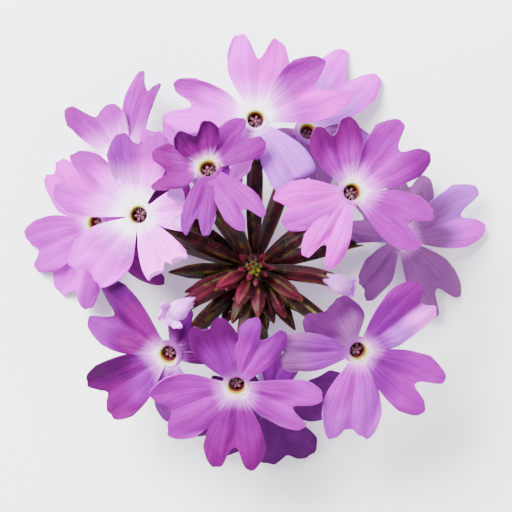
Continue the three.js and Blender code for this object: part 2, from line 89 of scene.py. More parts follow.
# %% The spike's axis and the shift
AXIS = np.array([-0.2, -2])
STALK_FOOT = 0.6
SAME_LEVEL = 0.02
spike_node = frame["nodes"]["spike_with_calyces"]
spike_points = np.array([v.co for v in spike_node.data.vertices]) / MM
cut_end = spike_points[spike_points[:, 2] < spike_points[:, 2].min() + SAME_LEVEL]
cut_middle = (cut_end.min(0) + cut_end.max(0)) / 2
SHIFT = np.array([*(cut_middle[:2] - AXIS), cut_end[:, 2].min() - STALK_FOOT])
print("shift in mm:", SHIFT.round(3))

# %% [markdown]
# ## Camera and light
# The head lies face up and is seen from straight above, so the camera looks down its axis. A
# long lens from half a metre away flattens it as a close portrait does. The light is a big
# soft window from the upper left over a bright, even sky.

# %% Camera
VIEW_WIDTH = 71.68
CAMERA_HEIGHT = 450
FOCUS_LEVEL = 12
SENSOR = 36
middle_of_view = np.array([0.07, -0.35, 0]) + SHIFT
camera = bpy.data.objects.new("camera", bpy.data.cameras.new("camera"))
bpy.context.scene.collection.objects.link(camera)
camera.data.sensor_width = SENSOR
camera.data.lens = SENSOR * CAMERA_HEIGHT / VIEW_WIDTH
camera.location = Vector(middle_of_view) * MM + Vector((0, 0, (CAMERA_HEIGHT + FOCUS_LEVEL) * MM))
camera.data.clip_start = 0.01
bpy.context.scene.camera = camera
print("lens in mm:", round(camera.data.lens, 1))


# %% Lights
HEAD = (0, 0, 0.01)


def area_light(name, place, size, power):
    """A square light, with its place and size in metres, turned to face the head."""
    light = bpy.data.objects.new(name, bpy.data.lights.new(name, "AREA"))
    bpy.context.scene.collection.objects.link(light)
    light.data.size = size
    light.data.energy = power
    light.location = place
    light.rotation_euler = (Vector(HEAD) - Vector(place)).to_track_quat("-Z", "Y").to_euler()


area_light("window", place=(-0.34, 0.36, 0.52), size=0.42, power=27)
area_light("far_side", place=(0.5, -0.3, 0.35), size=0.5, power=3)
world = bpy.data.worlds.new("sky")
world.use_nodes = True
sky = world.node_tree.nodes["Background"].inputs
sky["Color"].default_value = (0.97, 0.98, 1, 1)
sky["Strength"].default_value = 1.2
bpy.context.scene.world = world


# %% [markdown]
# ## Small tools for modelling
# Blender's operators act on whatever is selected, so each step first selects one object alone.
# A shape made by an operator is then moved point by point: numpy reads and writes all of a
# mesh's points in one go, which is how the bent, rolled petals get their forms.

# %% Selecting, modifiers and points
def alone(piece):
    """Selects one object and nothing else."""
    bpy.ops.object.select_all(action="DESELECT")
    piece.select_set(True)
    bpy.context.view_layer.objects.active = piece
    return piece


def made(name):
    """The object that an add operator has just made, named."""
    piece = bpy.context.active_object
    piece.name = piece.data.name = name
    return alone(piece)


def modify(piece, kind, **settings):
    """Adds a modifier with these settings and applies it."""
    alone(piece)
    modifier = piece.modifiers.new(kind, kind)
    for key, value in settings.items():
        setattr(modifier, key, value)
    bpy.ops.object.modifier_apply(modifier=modifier.name)


def points_of(piece):
    """All points of a mesh, in millimetres."""
    spots = np.zeros(len(piece.data.vertices) * 3)
    piece.data.vertices.foreach_get("co", spots)
    return spots.reshape(-1, 3) / MM


def set_points(piece, spots):
    """Moves all points of a mesh to these places, in millimetres."""
    piece.data.vertices.foreach_set("co", (np.asarray(spots) * MM).ravel())
    piece.data.update()


def copy_of(blank, name):
    """A copy with a mesh of its own."""
    piece = bpy.data.objects.new(name, blank.data.copy())
    piece.data.name = name
    bpy.context.scene.collection.objects.link(piece)
    return piece


def join(parts, name):
    """Makes one object of several."""
    piece = alone(parts[0])
    for part in parts:
        part.select_set(True)
    bpy.ops.object.join()
    piece.name = piece.data.name = name
    return piece


def smooth(t, low, high):
    """0 below low, 1 above high, and an even turn between."""
    t = np.clip((t - low) / (high - low), 0, 1)
    return t * t * (3 - 2 * t)


def soften(piece, degrees=50):
    """Smooth shading, with edges sharper than this angle kept."""
    alone(piece)
    bpy.ops.object.shade_smooth_by_angle(angle=math.radians(degrees))


print("modelling tools ready")


# %% Values painted on a mesh
def paint(piece, **layers):
    """Stores numbers, one for all points or one for each, that a material reads by their names."""
    for name, values in layers.items():
        layer = piece.data.attributes.get(name) or piece.data.attributes.new(name, "FLOAT", "POINT")
        values = np.broadcast_to(values, len(piece.data.vertices))
        layer.data.foreach_set("value", values.astype(np.float32))


def tint(piece, colours, fourth):
    """Stores a colour for each point, or one for all, and a fourth number beside it."""
    layer = piece.data.color_attributes.get("tint")
    layer = layer or piece.data.color_attributes.new("tint", "FLOAT_COLOR", "POINT")
    values = np.full((len(piece.data.vertices), 4), fourth, np.float32)
    values[:, :3] = colours
    layer.data.foreach_set("color", values.ravel())


def hex_colour(text):
    """A linear colour from the usual #rrggbb."""
    parts = [int(text[i:i + 2], 16) / 255 for i in (1, 3, 5)]
    return tuple(c / 12.92 if c < 0.04045 else ((c + 0.055) / 1.055) ** 2.4 for c in parts)


print("mid lilac is", [round(c, 3) for c in hex_colour("#c9a4ea")])


# %% [markdown]
# ## Small tools for finishes
# A finish is a shader: a graph of nodes. Writing it as sums is easier to read, so a small class
# wraps a node's output, and Python's own signs add the Math nodes. Colours are mixed with Mix
# nodes, because a Math node would turn them grey.

# %% Shader values as Python expressions
class Value:
    """A number that varies over a surface."""

    def __init__(self, finish, socket):
        self.finish = finish
        self.socket = socket

    def maths(self, operation, *inputs):
        node = self.finish.add("ShaderNodeMath", {"operation": operation}, dict(enumerate(inputs)))
        return Value(self.finish, node.outputs[0])

    def __add__(self, other):
        return self.maths("ADD", self, other)

    def __sub__(self, other):
        return self.maths("SUBTRACT", self, other)

    def __rsub__(self, other):
        return self.maths("SUBTRACT", other, self)

    def __mul__(self, other):
        return self.maths("MULTIPLY", self, other)

    def __pow__(self, other):
        return self.maths("POWER", self, other)

    __radd__ = __add__

    def size(self):
        return self.maths("ABSOLUTE", self)

    def sine(self):
        return self.maths("SINE", self)

    def within(self):
        node = self.finish.add("ShaderNodeClamp", {}, {"Value": self})
        return Value(self.finish, node.outputs[0])

    def rising(self, low, high):
        """0 below low, 1 above high, smooth between."""
        settings = {"interpolation_type": "SMOOTHSTEP"}
        sockets = {"Value": self, "From Min": low, "From Max": high}
        node = self.finish.add("ShaderNodeMapRange", settings, sockets)
        return Value(self.finish, node.outputs["Result"])


# %% A finish and its nodes
class Finish:
    """A material round one Principled shader."""

    def __init__(self, name, **constants):
        self.material = bpy.data.materials.new(name)
        self.material.use_nodes = True
        self.tree = self.material.node_tree
        self.shader = self.tree.nodes["Principled BSDF"]
        for key, value in constants.items():
            self.shader.inputs[key.replace("_", " ")].default_value = value

    def feed(self, socket, value):
        """Gives a socket a link, a number or a colour."""
        value = getattr(value, "socket", value)
        if isinstance(value, str):
            value = hex_colour(value)
        if isinstance(value, bpy.types.NodeSocket):
            self.tree.links.new(value, socket)
        elif socket.type == "RGBA" and isinstance(value, tuple):
            socket.default_value = (*value, 1)
        else:
            socket.default_value = value

    def show(self, name, value):
        """Feeds one of the surface's own sockets, such as its colour."""
        self.feed(self.shader.inputs[name], value)

    def add(self, kind, settings, sockets):
        """One node: its settings first, then its sockets' values or links."""
        node = self.tree.nodes.new(kind)
        for key, value in settings.items():
            setattr(node, key, value)
        for key, value in sockets.items():
            self.feed(node.inputs[key], value)
        return node

    def attribute(self, name):
        return self.add("ShaderNodeAttribute", {"attribute_name": name}, {})

    def number(self, name):
        return Value(self, self.attribute(name).outputs["Fac"])

    def spot(self, x, y, z):
        """A point made of three values, for a texture to be read at."""
        return self.add("ShaderNodeCombineXYZ", {}, {"X": x, "Y": y, "Z": z}).outputs[0]

    def place(self):
        """The point's place in metres, on the object's own axes."""
        return self.add("ShaderNodeTexCoord", {}, {}).outputs["Object"]

    def noise(self, spot, scale, detail=3):
        sockets = {"Vector": spot, "Scale": scale, "Detail": detail}
        node = self.add("ShaderNodeTexNoise", {}, sockets)
        return Value(self, node.outputs["Fac"])

    def cells(self, spot, scale):
        node = self.add("ShaderNodeTexVoronoi", {}, {"Vector": spot, "Scale": scale})
        return Value(self, node.outputs["Distance"])

    def mix(self, below, above, amount, way="MIX"):
        """Lays one colour over another by an amount."""
        settings = {"data_type": "RGBA", "blend_type": way}
        return self.add("ShaderNodeMix", settings, {0: amount, 6: below, 7: above}).outputs[2]

    def layers(self, colour, *coats):
        """Lays colours over one another, each with its amount."""
        for coat, amount in coats:
            colour = self.mix(colour, coat, amount)
        return colour

    def relief(self, height, depth):
        """Bumps of this depth, in millimetres."""
        sockets = {"Height": height, "Distance": depth * MM, "Strength": 1}
        node = self.add("ShaderNodeBump", {}, sockets)
        self.show("Normal", node.outputs[0])

    def wear(self, piece):
        piece.data.materials.clear()
        piece.data.materials.append(self.material)


print("finish tools ready")

# %% [markdown]
# ## The floor
# The head lies on a big sheet of matt white paper, which catches its soft shadows. A plane will
# do, and it is stage, not part of the flower. A faint mottling keeps it from looking empty.

# %% A sheet of paper
bpy.ops.mesh.primitive_plane_add(size=3)
floor = made("floor")
floor_finish = Finish("floor_paper", Roughness=0.9)
paper = floor_finish.noise(floor_finish.place(), 60)
floor_finish.show("Base Color", floor_finish.mix("#fbfbfb", "#f6f6f7", paper))
floor_finish.wear(floor)
print("floor laid at z = 0")

# %% [markdown]
# ## The petals' form
# A verbena petal is narrow where it leaves the throat, widens to two thirds of its length, and
# ends in two round lobes with a wide notch between. It hardly ever lies flat: it rises or
# droops, its lobes roll up or under, and some are folded over. One flat grid is made once; each
# petal is a copy of it, laid on a curved sheet that the petal's own numbers describe. Sixty-five
# petals could be sculpted one by one too, but a change to all of them would then be slow.

# %% Sizes of the petals
PETAL_THICK = 0.24
HALF_WIDTH = 4.3
CLAW = 0.95  # half the width where the petal leaves the throat
ROOT = 1.2  # how far from the eye's middle it starts
NOTCH = 0.265  # this and the next five are shares of the length
SHOULDER = 0.28
OUTLINE_WAVE, OUTLINE_RIPPLE = 0.013, 0.008
WIDEST = 0.82  # where an oval petal is widest
FOLD_REACH = 0.09  # how far a fold's turn spreads to each side
NOTCH_WIDE = 0.316  # a share of the half width
CREASE, RUFFLE, WAVE, RIM_WAVE, VEIN_RISE = 0.35, 0.3, 0.13, 0.16, 0.05
VEINS = 3.5  # half waves of veins from the midline to the rim
SHEET_STEPS = 16
GRID_ALONG = 24
GRID_ACROSS = 44


def reach_of(shape, v):
    """How far out the petal goes at a part of its half width: round lobes and the notch."""
    at = shape["at"]
    notch = NOTCH * shape["notch"] * np.exp(-(np.abs(v) / NOTCH_WIDE) ** 2.25)
    wavy = 1 + OUTLINE_WAVE * np.sin(v * 9 + at) + OUTLINE_RIPPLE * np.sin(v * 19 + at * 2)
    return (1 - notch - SHOULDER * np.abs(v) ** 7) * (1 + shape["skew"] * v) * wavy


def half_width(shape, u):
    """Half the width at a part of the length: between a wedge and, for a full petal, an oval."""
    wedge = u * (1.15 - 0.15 * u * u)
    oval = np.sin(np.pi / 2 * np.minimum(1, u / WIDEST)) ** 1.25
    return CLAW + (HALF_WIDTH * shape["wide"] - CLAW) * (wedge + (oval - wedge) * shape["full"])


def slope(shape, t):
    """The angle above the floret's own plane at a part of the petal's length."""
    turn = shape["fold"] * smooth(t, shape["fold_at"] - FOLD_REACH, shape["fold_at"] + FOLD_REACH)
    return np.radians(shape["rise"] + shape["bend"] * t ** 1.4 + turn)


plain_petal = {"notch": 1, "skew": 0, "at": 0}
print("reach at the notch and at a lobe:", reach_of(plain_petal, np.array([0, 0.6])).round(2))


# %% A petal as a curved sheet
def sheet(shape, u, v):
    """Points of the petal's middle sheet in its own axes: x out, y to its left, z up."""
    long = shape["long"]
    arc = ROOT + (long * reach_of(shape, v) - ROOT) * u
    stride = (arc - ROOT) / SHEET_STEPS
    x = np.full_like(arc, ROOT)
    z = np.zeros_like(arc)
    for i in range(SHEET_STEPS):
        angle = slope(shape, (ROOT + stride * (i + 0.5)) / long)
        x += stride * np.cos(angle)
        z += stride * np.sin(angle)
    roll = np.radians(np.where(v > 0, shape["left"], shape["right"])) * smooth(u, 0.1, 0.75)
    flat = 0.3
    outer = np.maximum(0, np.abs(v) - flat)
    curl = roll * outer / (1 - flat)
    curl = np.where(np.abs(curl) < 1e-4, 1e-4, curl)
    width = half_width(shape, u)
    y = np.sign(v) * width * (np.minimum(np.abs(v), flat) + outer * np.sin(curl) / curl)
    ruffle = RUFFLE * np.sin(u * 7 + shape["at"]) * v * v * u
    waves = WAVE * np.sin(u * 9 + v * 4 + shape["at"]) * smooth(u, 0.25, 0.9)
    waves += RIM_WAVE * np.sin(v * 6 + u * 4 + shape["at"] * 3) * v * v * smooth(u, 0.4, 1)
    crease = -CREASE * np.exp(-(v / 0.3) ** 2) * smooth(u, 0.05, 0.4)
    veins = -VEIN_RISE * np.cos(v * np.pi * VEINS) * smooth(u, 0.1, 0.5)
    height = width * outer * (1 - np.cos(curl)) / curl + ruffle + waves + crease + veins
    tilt = slope(shape, arc / long)
    return np.stack([x - height * np.sin(tilt), y, z + height * np.cos(tilt)], -1), arc


# %% The flat grid that all petals start from
bpy.ops.mesh.primitive_grid_add(x_subdivisions=GRID_ALONG, y_subdivisions=GRID_ACROSS, size=2 * MM)
petal_blank = made("petal_blank")
blank_points = points_of(petal_blank)
blank_u = np.clip((blank_points[:, 0] + 1) / 2, 0, 1)
blank_v = np.clip(blank_points[:, 1], -1, 1)
# the points lie closest at the petal's sides, where the outline turns fastest
blank_v = np.sign(blank_v) * (1 - (1 - np.abs(blank_v)) ** 1.5)
print("points in a petal:", len(blank_u))


# %% [markdown]
# ## Where each floret looks
# A floret's face leans out from the head. Its tube starts on the spike, runs up inside the
# calyx, and bends to meet the face squarely. A Bezier curve gives that line, and anything made
# upright along z, such as a calyx, can be laid along it.

# %% Faces, stems and laying things along them
CALYX_SHARE = 0.66
LEAVE, LIFT, ARRIVE = 0.45, 0.12, 0.42  # shares of the stem's reach, for its two handles
STEM_POINTS = 201


def face_of(lean, towards):
    """The way a floret faces: how far it leans, and towards which direction."""
    lean, towards = math.radians(lean), math.radians(towards)
    away = np.array([math.cos(towards), math.sin(towards), 0])
    return away * math.sin(lean) + np.array([0, 0, math.cos(lean)])


def unit(vector):
    return vector / np.linalg.norm(vector)


class Stem:
    """The curve from the spike, through the calyx and the tube, to the middle of the eye."""

    def __init__(self, eye, face, foot, calyx_share=CALYX_SHARE):
        start = np.array([*AXIS, foot])
        away = np.array([*(eye[:2] - AXIS), 0])
        reach = np.linalg.norm(away)
        leave = start + away * LEAVE + np.array([0, 0, reach * LIFT])
        arrive = eye - face * reach * ARRIVE
        t = np.linspace(0, 1, STEM_POINTS)[:, None]
        self.points = ((1 - t) ** 3 * start + 3 * (1 - t) ** 2 * t * leave
                       + 3 * (1 - t) * t * t * arrive + t ** 3 * eye)
        steps = np.linalg.norm(np.diff(self.points, axis=0), axis=1)
        self.lengths = np.concatenate([[0], np.cumsum(steps)])
        self.long = self.lengths[-1]
        self.mouth = self.long * calyx_share
        self.headings = np.gradient(self.points, self.lengths, axis=0)
        chord = eye - start
        self.level = unit(np.array([-chord[1], chord[0], 0]))

    def lay(self, spots):
        """Moves points made upright along z so that z runs along the curve."""
        height = np.clip(spots[:, 2], 0, self.long)
        at, heading = (np.stack([np.interp(height, self.lengths, row[:, k]) for k in range(3)], 1)
                       for row in (self.points, self.headings))
        heading /= np.linalg.norm(heading, axis=1, keepdims=True)
        side = self.level - heading * (heading @ self.level)[:, None]
        side /= np.linalg.norm(side, axis=1, keepdims=True)
        across = np.cross(heading, side)
        beyond = spots[:, 2] - height
        return at + heading * beyond[:, None] + side * spots[:, :1] + across * spots[:, 1:2]


print("a floret leaning 20 degrees faces", face_of(20, 0).round(2))


# %% [markdown]
# ## Thirteen florets
# Each floret has the middle of its eye, the lean of its face, the height at which its calyx
# leaves the spike, and five petals. A petal points a way, has a length and a tint, and may be
# wide or narrow, rise, bend, fold or roll its left or right lobe. Florets without a height of
# their own rest on the table. The tints go from near white to dark purple. Part of that is the
# head's own colour, which differs from floret to floret; part is painted light and shade:
# florets towards the upper left are paler, as if lit from there, and the lower ring and lobes
# that roll or fold are darker, as painted shade.

# %% Tints
# Part of these tints is painted light and shade: the dull and darkest ones stand for petals lying
# in shadow, and the darker tips and sides given below stand for rolled or folded lobes in shadow.
TINTS = {
    "pearl": "#ee5cf0", "blush": "#ca10d4", "pink": "#be02bc", "rose": "#9e03a8",
    "orchid": "#84028c", "fuchsia": "#6a0170", "magenta": "#5e015c", "violet": "#6a0478",
    "purple": "#460249", "lilac": "#a44ac6", "mallow": "#9424a6", "mauve": "#761a88",
    "dusk_shade": "#703a76", "shade": "#4a1650", "plum_shade": "#460250",
}


def petal(at, long, colour, **shape):
    """One petal's numbers: those given, and the usual ones for the rest."""
    outline = {"wide": 1, "full": 0.4, "notch": 1, "skew": 0}
    form = {"rise": 8, "bend": -22, "fold": 0, "fold_at": 0.6, "left": -12, "right": -12}
    sides = dict.fromkeys(("left_tint", "right_tint", "left_tip", "right_tip"))  # none
    tints = {"colour": colour, "tip": colour, **sides}
    return {"at": at, "long": long, **tints, **outline, **form, **shape}


print("tints:", len(TINTS))

# %% The upper ring
FLORETS = {
    "upper_1": dict(eye=(0, 18.5, 17), lean=14, towards=95, foot=9, white=5.2, petals=[
        petal(87, 12, "pink", full=0.9, skew=0.05, bend=-34, fold=26, fold_at=0.45, left=0, right=0,
              left_tint="blush"),
        petal(27, 12.9, "rose", wide=1.12, full=0.5, skew=-0.07, rise=10, bend=-14, left=40,
              left_tint="orchid", left_tip="orchid", tip="pink"),
        petal(305, 12.2, "lilac", wide=0.78, full=0.7, notch=0.3, rise=4, fold=-120, fold_at=0.86,
              left=0, right=-10),
        petal(235, 9, "pearl", wide=0.75, rise=-2, bend=-24),
        petal(167, 12.6, "blush", wide=0.96, left=0, right=75, right_tip="orchid"),
    ]),
    "upper_2": dict(eye=(-6.5, 11.6, 21.5), lean=26, towards=110, foot=11.5, white=2.4, petals=[
        petal(42, 8.8, "fuchsia", wide=0.84, left=10, right=-30),
        petal(112, 7, "magenta", wide=0.8, rise=30, bend=45, left=45, right=20, tip="purple"),
        petal(184, 7.8, "fuchsia", wide=0.9, rise=12, left=40, right=20, tip="magenta"),
        petal(257, 9.8, "fuchsia", wide=0.56, rise=0, bend=-16, tip="violet"),
        petal(311, 10.6, "orchid", wide=0.66, rise=2, bend=-14),
    ]),
    "upper_3": dict(eye=(13.2, 8.4, 20), lean=14, towards=40, foot=10.5, white=3.6, petals=[
        petal(41, 12.6, "rose", wide=1.12, skew=-0.03, left=12, right=-40, left_tint="orchid",
              right_tint="orchid", right_tip="fuchsia"),
        petal(111, 10.6, "orchid", wide=0.9, notch=0.8, rise=12, bend=24, left=16, right=16,
              tip="magenta"),
        petal(194, 10.8, "pink", wide=0.82, full=0.6, notch=0.45, bend=-18, left_tint="rose"),
        petal(243, 11.4, "blush", wide=0.72, bend=-18, tip="pink"),
        petal(332, 12, "orchid", wide=0.94, bend=-14),
    ]),
    "upper_4": dict(eye=(-16.1, 5.3, 17.8), lean=12, towards=150, foot=9.5, white=6.5, petals=[
        petal(91, 11.8, "pink", wide=1.05, full=0.3, notch=0.5, rise=4, bend=-24, left=30,
              right=-10, tip="orchid", left_tint="violet"),
        petal(150, 12.8, "blush", wide=1.05, bend=-26, fold=10, fold_at=0.5, tip="pink",
              right_tip="orchid", left_tip="rose"),
        petal(227, 11.5, "rose", wide=0.98, full=0.8, notch=0.3, skew=-0.05, bend=-30, tip="blush"),
        petal(299, 10.4, "pearl", wide=0.76, bend=-14, fold=120, fold_at=0.82),
        petal(8, 9.2, "pearl", wide=0.75, rise=4, bend=-10, fold=150, fold_at=0.72),
    ]),
    "upper_5": dict(eye=(-12, -13.9, 17), lean=24, towards=220, foot=8.5, white=3.4, petals=[
        petal(147, 13.2, "magenta", wide=1.1, skew=-0.1, rise=1, bend=-18, left=80, right=-10,
              tip="purple", right_tip="plum_shade", left_tip="violet"),
        petal(213, 13.4, "violet", wide=1.05, full=0.6, notch=0.5, left=20, right=45, tip="magenta",
              right_tint="purple"),
        petal(275, 12.6, "violet", wide=0.9, rise=-8, bend=-30),
        petal(1, 8.6, "purple", wide=0.5, rise=-16, bend=-20),
        petal(48, 7, "purple", wide=0.9, full=0.7, rise=-30, left=-10, right=-10, tip="violet",
              right_tint="purple"),
    ]),
    "upper_6": dict(eye=(-2.6, -18.1, 19.4), lean=20, towards=262, foot=9.5, white=3.2, petals=[
        petal(116, 10.4, "violet", wide=0.78, notch=0.45, rise=12, bend=-16, tip="purple"),
        petal(61, 10.5, "orchid", wide=0.82, rise=12, bend=-20, right=-40, tip="violet"),
        petal(338, 11.7, "orchid", skew=0.05, left=0, right=-60, tip="rose"),
        petal(268, 12.6, "fuchsia", bend=-44, fold=30, fold_at=0.5, tip="magenta"),
        petal(202, 11.9, "orchid", wide=1.2, full=0.6, notch=0.6, skew=0.03, left=-30, right=15),
    ]),
    "upper_7": dict(eye=(14.1, -13.4, 18), lean=18, towards=318, foot=9, white=3, petals=[
        petal(36, 12.6, "violet", full=0.8, notch=0.4, left=12, right=-70, tip="fuchsia",
              right_tint="lilac", right_tip="pearl"),
        petal(128, 8.3, "dusk_shade", full=0.8, notch=0.4, skew=0.08, rise=14, bend=-34, left=-20,
              right=50, tip="shade", left_tint="shade"),
        petal(181, 12.2, "mauve", wide=0.64, full=0.9, notch=0.4, rise=10, fold=-90, fold_at=0.88,
              tip="dusk_shade"),
        petal(265, 12.8, "rose", full=0.8, notch=0.45, left=-20, right=-10, tip="mallow",
              left_tint="mallow"),
        petal(330, 13.2, "violet", wide=1.02, bend=-26, fold=14, fold_at=0.5, tip="orchid"),
    ]),
}
print("upper florets:", len(FLORETS))

# %% The lower ring
FLORETS.update({
    "lower_1": dict(eye=(-22.6, 4.2), lean=36, towards=190, foot=5.5, white=2.6, petals=[
        petal(204, 12.2, "rose", wide=0.92, full=0.8, notch=0.4, rise=16, left=10, right=20),
        petal(130, 11, "pink", wide=0.8, full=0.8, notch=0.2, rise=10),
        petal(250, 12.8, "blush", full=0.7, notch=0.5, rise=6, left=20, right=20,
              left_tint="orchid"),
        petal(50, 7.4, "rose", wide=0.8, rise=-24, bend=-30),
        petal(318, 13.1, "purple", wide=0.85, rise=-14, bend=-20, tip="magenta"),
    ]),
    "lower_2": dict(eye=(-18.6, 12.8, 10.8), lean=30, towards=105, foot=7.2, white=5.6, petals=[
        petal(122, 10.8, "orchid", wide=0.95, notch=0.7, skew=0.24, rise=12, left=0, right=60,
              left_tip="fuchsia"),
        petal(72, 14.2, "orchid", wide=0.66, notch=0.6, skew=0.1, rise=12, left=-20, right=90,
              right_tip="fuchsia"),
        petal(190, 7.6, "rose", wide=0.8, rise=-2, bend=-30),
        petal(30, 7.8, "rose", wide=0.62, rise=0, bend=-20, right=-70),
        petal(285, 6.2, "rose", wide=0.6, rise=-20, bend=-20),
    ]),
    "lower_3": dict(eye=(7.4, 17.2), lean=32, towards=56, foot=6.5, white=3, petals=[
        petal(53, 14.4, "lilac", wide=1.14, rise=14, bend=-16, tip="blush"),
        petal(98, 11.6, "lilac", rise=10, right=20, tip="blush"),
        petal(344, 11.2, "dusk_shade", rise=2, bend=-30, tip="mauve"),
        petal(278, 9, "dusk_shade", wide=0.8, rise=-10, bend=-40),
        petal(198, 6, "dusk_shade", wide=0.6, rise=-30, bend=-20),
    ]),
    "lower_4": dict(eye=(20.4, 2.2), lean=30, towards=345, foot=5, white=3, petals=[
        petal(22, 13.7, "dusk_shade", wide=1.08, rise=14, bend=-16, tip="lilac", right_tip="blush"),
        petal(306, 13.6, "dusk_shade", bend=-16),
        petal(237, 9.2, "dusk_shade", wide=0.62, full=0.8, notch=0.1, skew=0.15, rise=4, bend=-20,
              left=30, right=20),
        petal(72, 10.6, "dusk_shade", rise=0, bend=-40),
        petal(150, 8.2, "dusk_shade", wide=0.75, rise=-20, bend=-20),
    ]),
    "lower_5": dict(eye=(1.8, -20.4), lean=34, towards=290, foot=4.5, white=2.4, petals=[
        petal(288, 12.5, "plum_shade", wide=1.12, full=0.1, notch=0.35, skew=0.1, bend=-24),
        petal(356, 12, "plum_shade", rise=2, bend=-26),
        petal(222, 12.4, "plum_shade", rise=2, bend=-28),
        petal(62, 8, "violet", wide=0.75, rise=-22, bend=-20),
        petal(160, 8.6, "plum_shade", wide=0.75, rise=-22, bend=-20),
    ]),
    "lower_6": dict(eye=(-9.8, 12.7, 14.6), lean=20, towards=120, foot=9.5, white=3, petals=[
        petal(128, 7.8, "rose", wide=0.75, rise=4, bend=-14),
        petal(196, 8, "orchid", wide=0.7, rise=6, bend=-24),
        petal(240, 7.4, "magenta", wide=0.85, rise=-6, bend=-24),
        petal(356, 8.6, "orchid", wide=0.62, rise=-2, bend=-20),
        petal(64, 7.4, "rose", wide=0.75, rise=-4, bend=-26),
    ]),
})
BUDS = {
    "left": dict(eye=(-11, -8.1, 20.4), lean=44, towards=222, foot=11, white=1, petals=[
        petal(150, 2.9, "pearl", wide=0.4, rise=40, bend=60, left=20, right=20),
        petal(260, 2.7, "pearl", wide=0.4, rise=40, bend=60, left=20, right=20),
    ]),
    "right": dict(eye=(12.4, -4.6, 13), lean=48, towards=330, foot=9.5, white=1, petals=[
        petal(15, 2, "pearl", wide=0.22, full=1, notch=0.1, rise=18, bend=8),
        petal(290, 2.4, "pearl", wide=0.22, full=1, notch=0.1, rise=18, bend=8),
    ]),
}
print("florets:", len(FLORETS), "buds:", len(BUDS))


# %% [markdown]
# ## Making the blades
# Each blade is a copy of the flat grid with its points moved onto its sheet, then carried to
# the floret's eye. The finish will read what is painted on it: how far out each point is, how
# far across, how near the rim, and the petal's tint. Solidify then gives all blades of a floret
# their thickness at once, and the upper and under sides are told apart for their colours.

# %% Blades of one floret
TIP_FADE = (0.42, 0.8)  # the parts of the length between which the tip's colour comes in
SIDE_FADE = (-0.1, 0.45)  # and of the half width, for the colour of one side
SIDE_START = {"tint": 0.15, "tip": 0.5}  # how far out that side's tint, or its tip's, begins
SIDE_SPREAD = 0.3


def place_petal(spots, eye, face, at):
    """Carries points from a petal's own axes to its place on the head."""
    way = np.array([math.cos(math.radians(at)), math.sin(math.radians(at)), 0])
    way[2] = -(way[0] * face[0] + way[1] * face[1]) / face[2]
    way = unit(way)
    return eye + spots @ np.stack([way, np.cross(face, way), face])


def petal_colours(shape, u, v):
    """The petal's colour at each point: its own, its tip's, and that of a side that differs."""
    def lay(below, key, amount):
        return below + (np.array(hex_colour(TINTS[shape[key]])) - below) * amount[:, None]

    colours = np.tile(hex_colour(TINTS[shape["colour"]]), (len(u), 1))
    colours = lay(colours, "tip", smooth(u, *TIP_FADE))
    for zone, start in SIDE_START.items():
        for key, side in ((f"left_{zone}", v), (f"right_{zone}", -v)):
            if shape[key]:
                amount = smooth(side, *SIDE_FADE) * smooth(u, start, start + SIDE_SPREAD)
                colours = lay(colours, key, amount)
    return colours


def blades(floret, eye, face, name):
    """The petals as thin closed blades, painted and in place."""
    parts = []
    for i, shape in enumerate(floret["petals"]):
        blade = copy_of(petal_blank, f"{name}_{i}")
        spots, arc = sheet(shape, blank_u, blank_v)
        set_points(blade, place_petal(spots, eye, face, shape["at"]))
        rim = np.maximum(np.abs(blank_v) ** 6, blank_u ** 10)
        lot = shape["at"] / 37 + len(name)  # where the finish reads its noise, so no two are alike
        paint(blade, out=arc, across=blank_v, edge=rim, lot=lot)
        tint(blade, petal_colours(shape, blank_u, blank_v), floret["white"] / 10)
        parts.append(blade)
    whole = join(parts, name)
    middle = points_of(whole)
    normals = np.zeros(len(middle) * 3)
    whole.data.vertices.foreach_get("normal", normals)
    modify(whole, "SOLIDIFY", thickness=PETAL_THICK * MM, offset=0)
    count = len(middle)
    spots = points_of(whole)
    outward = ((spots[:count] - spots[count:]) * normals.reshape(-1, 3)).sum(1) > 0
    paint(whole, under=np.concatenate([~outward, outward]))
    return whole


# %% [markdown]
# ## Tube and throat
# The tube is a lathe form: slender where it leaves the calyx, widening to the throat, over a
# soft lip and down inside. Spinning a profile would make it. Here a cylinder's rings are moved
# to the profile's radii and heights, because each ring is then known by its number and can be
# painted. The whole is laid along the stem, and the lip runs out under the petals' claws.

# %% Choosing edges and shaping them in edit mode
def choose_nothing(kind):
    """Clears what is selected, before points, edges or faces are chosen by their place."""
    bpy.ops.object.mode_set(mode="EDIT")
    bpy.ops.mesh.select_mode(type=kind)
    bpy.ops.mesh.select_all(action="DESELECT")
    bpy.ops.object.mode_set(mode="OBJECT")


def choose_upright_edges(piece, least):
    """Selects the edges that climb at least this far, in millimetres."""
    choose_nothing("EDGE")
    for edge in piece.data.edges:
        low, high = (piece.data.vertices[k].co.z for k in edge.vertices)
        edge.select = abs(low - high) > least * MM


def in_edit_mode(*steps):
    """Runs edit operators on what is selected: pairs of an operator and its settings."""
    bpy.ops.object.mode_set(mode="EDIT")
    for operator, settings in steps:
        operator(**settings)
    bpy.ops.object.mode_set(mode="OBJECT")


print("edit tools ready")


# %% A lathe form
def turned(name, profile, sides):
    """A form of rings, with a radius and a height for each, shut by a fan of faces at both ends."""
    bpy.ops.mesh.primitive_cylinder_add(vertices=sides, radius=MM, depth=MM, end_fill_type="TRIFAN")
    piece = made(name)
    choose_upright_edges(piece, 0.5)
    in_edit_mode((bpy.ops.mesh.subdivide, {"number_cuts": len(profile) - 2}))
    spots = points_of(piece)
    ring = np.rint((spots[:, 2] + 0.5) * (len(profile) - 1)).astype(int)
    rows = np.array([row[:2] for row in profile])
    angle = np.arctan2(spots[:, 1], spots[:, 0])
    spots[:, :2] *= rows[ring, :1]
    spots[:, 2] = rows[ring, 1]
    set_points(piece, spots)
    return piece, ring, angle


print("turning tool ready")

# %% The tube and the throat
THROAT = 1.06
THROAT_DEPTH = 3
TUBE = 0.5
TUBE_INSIDE = 1.4
TUBE_SIDES = 30


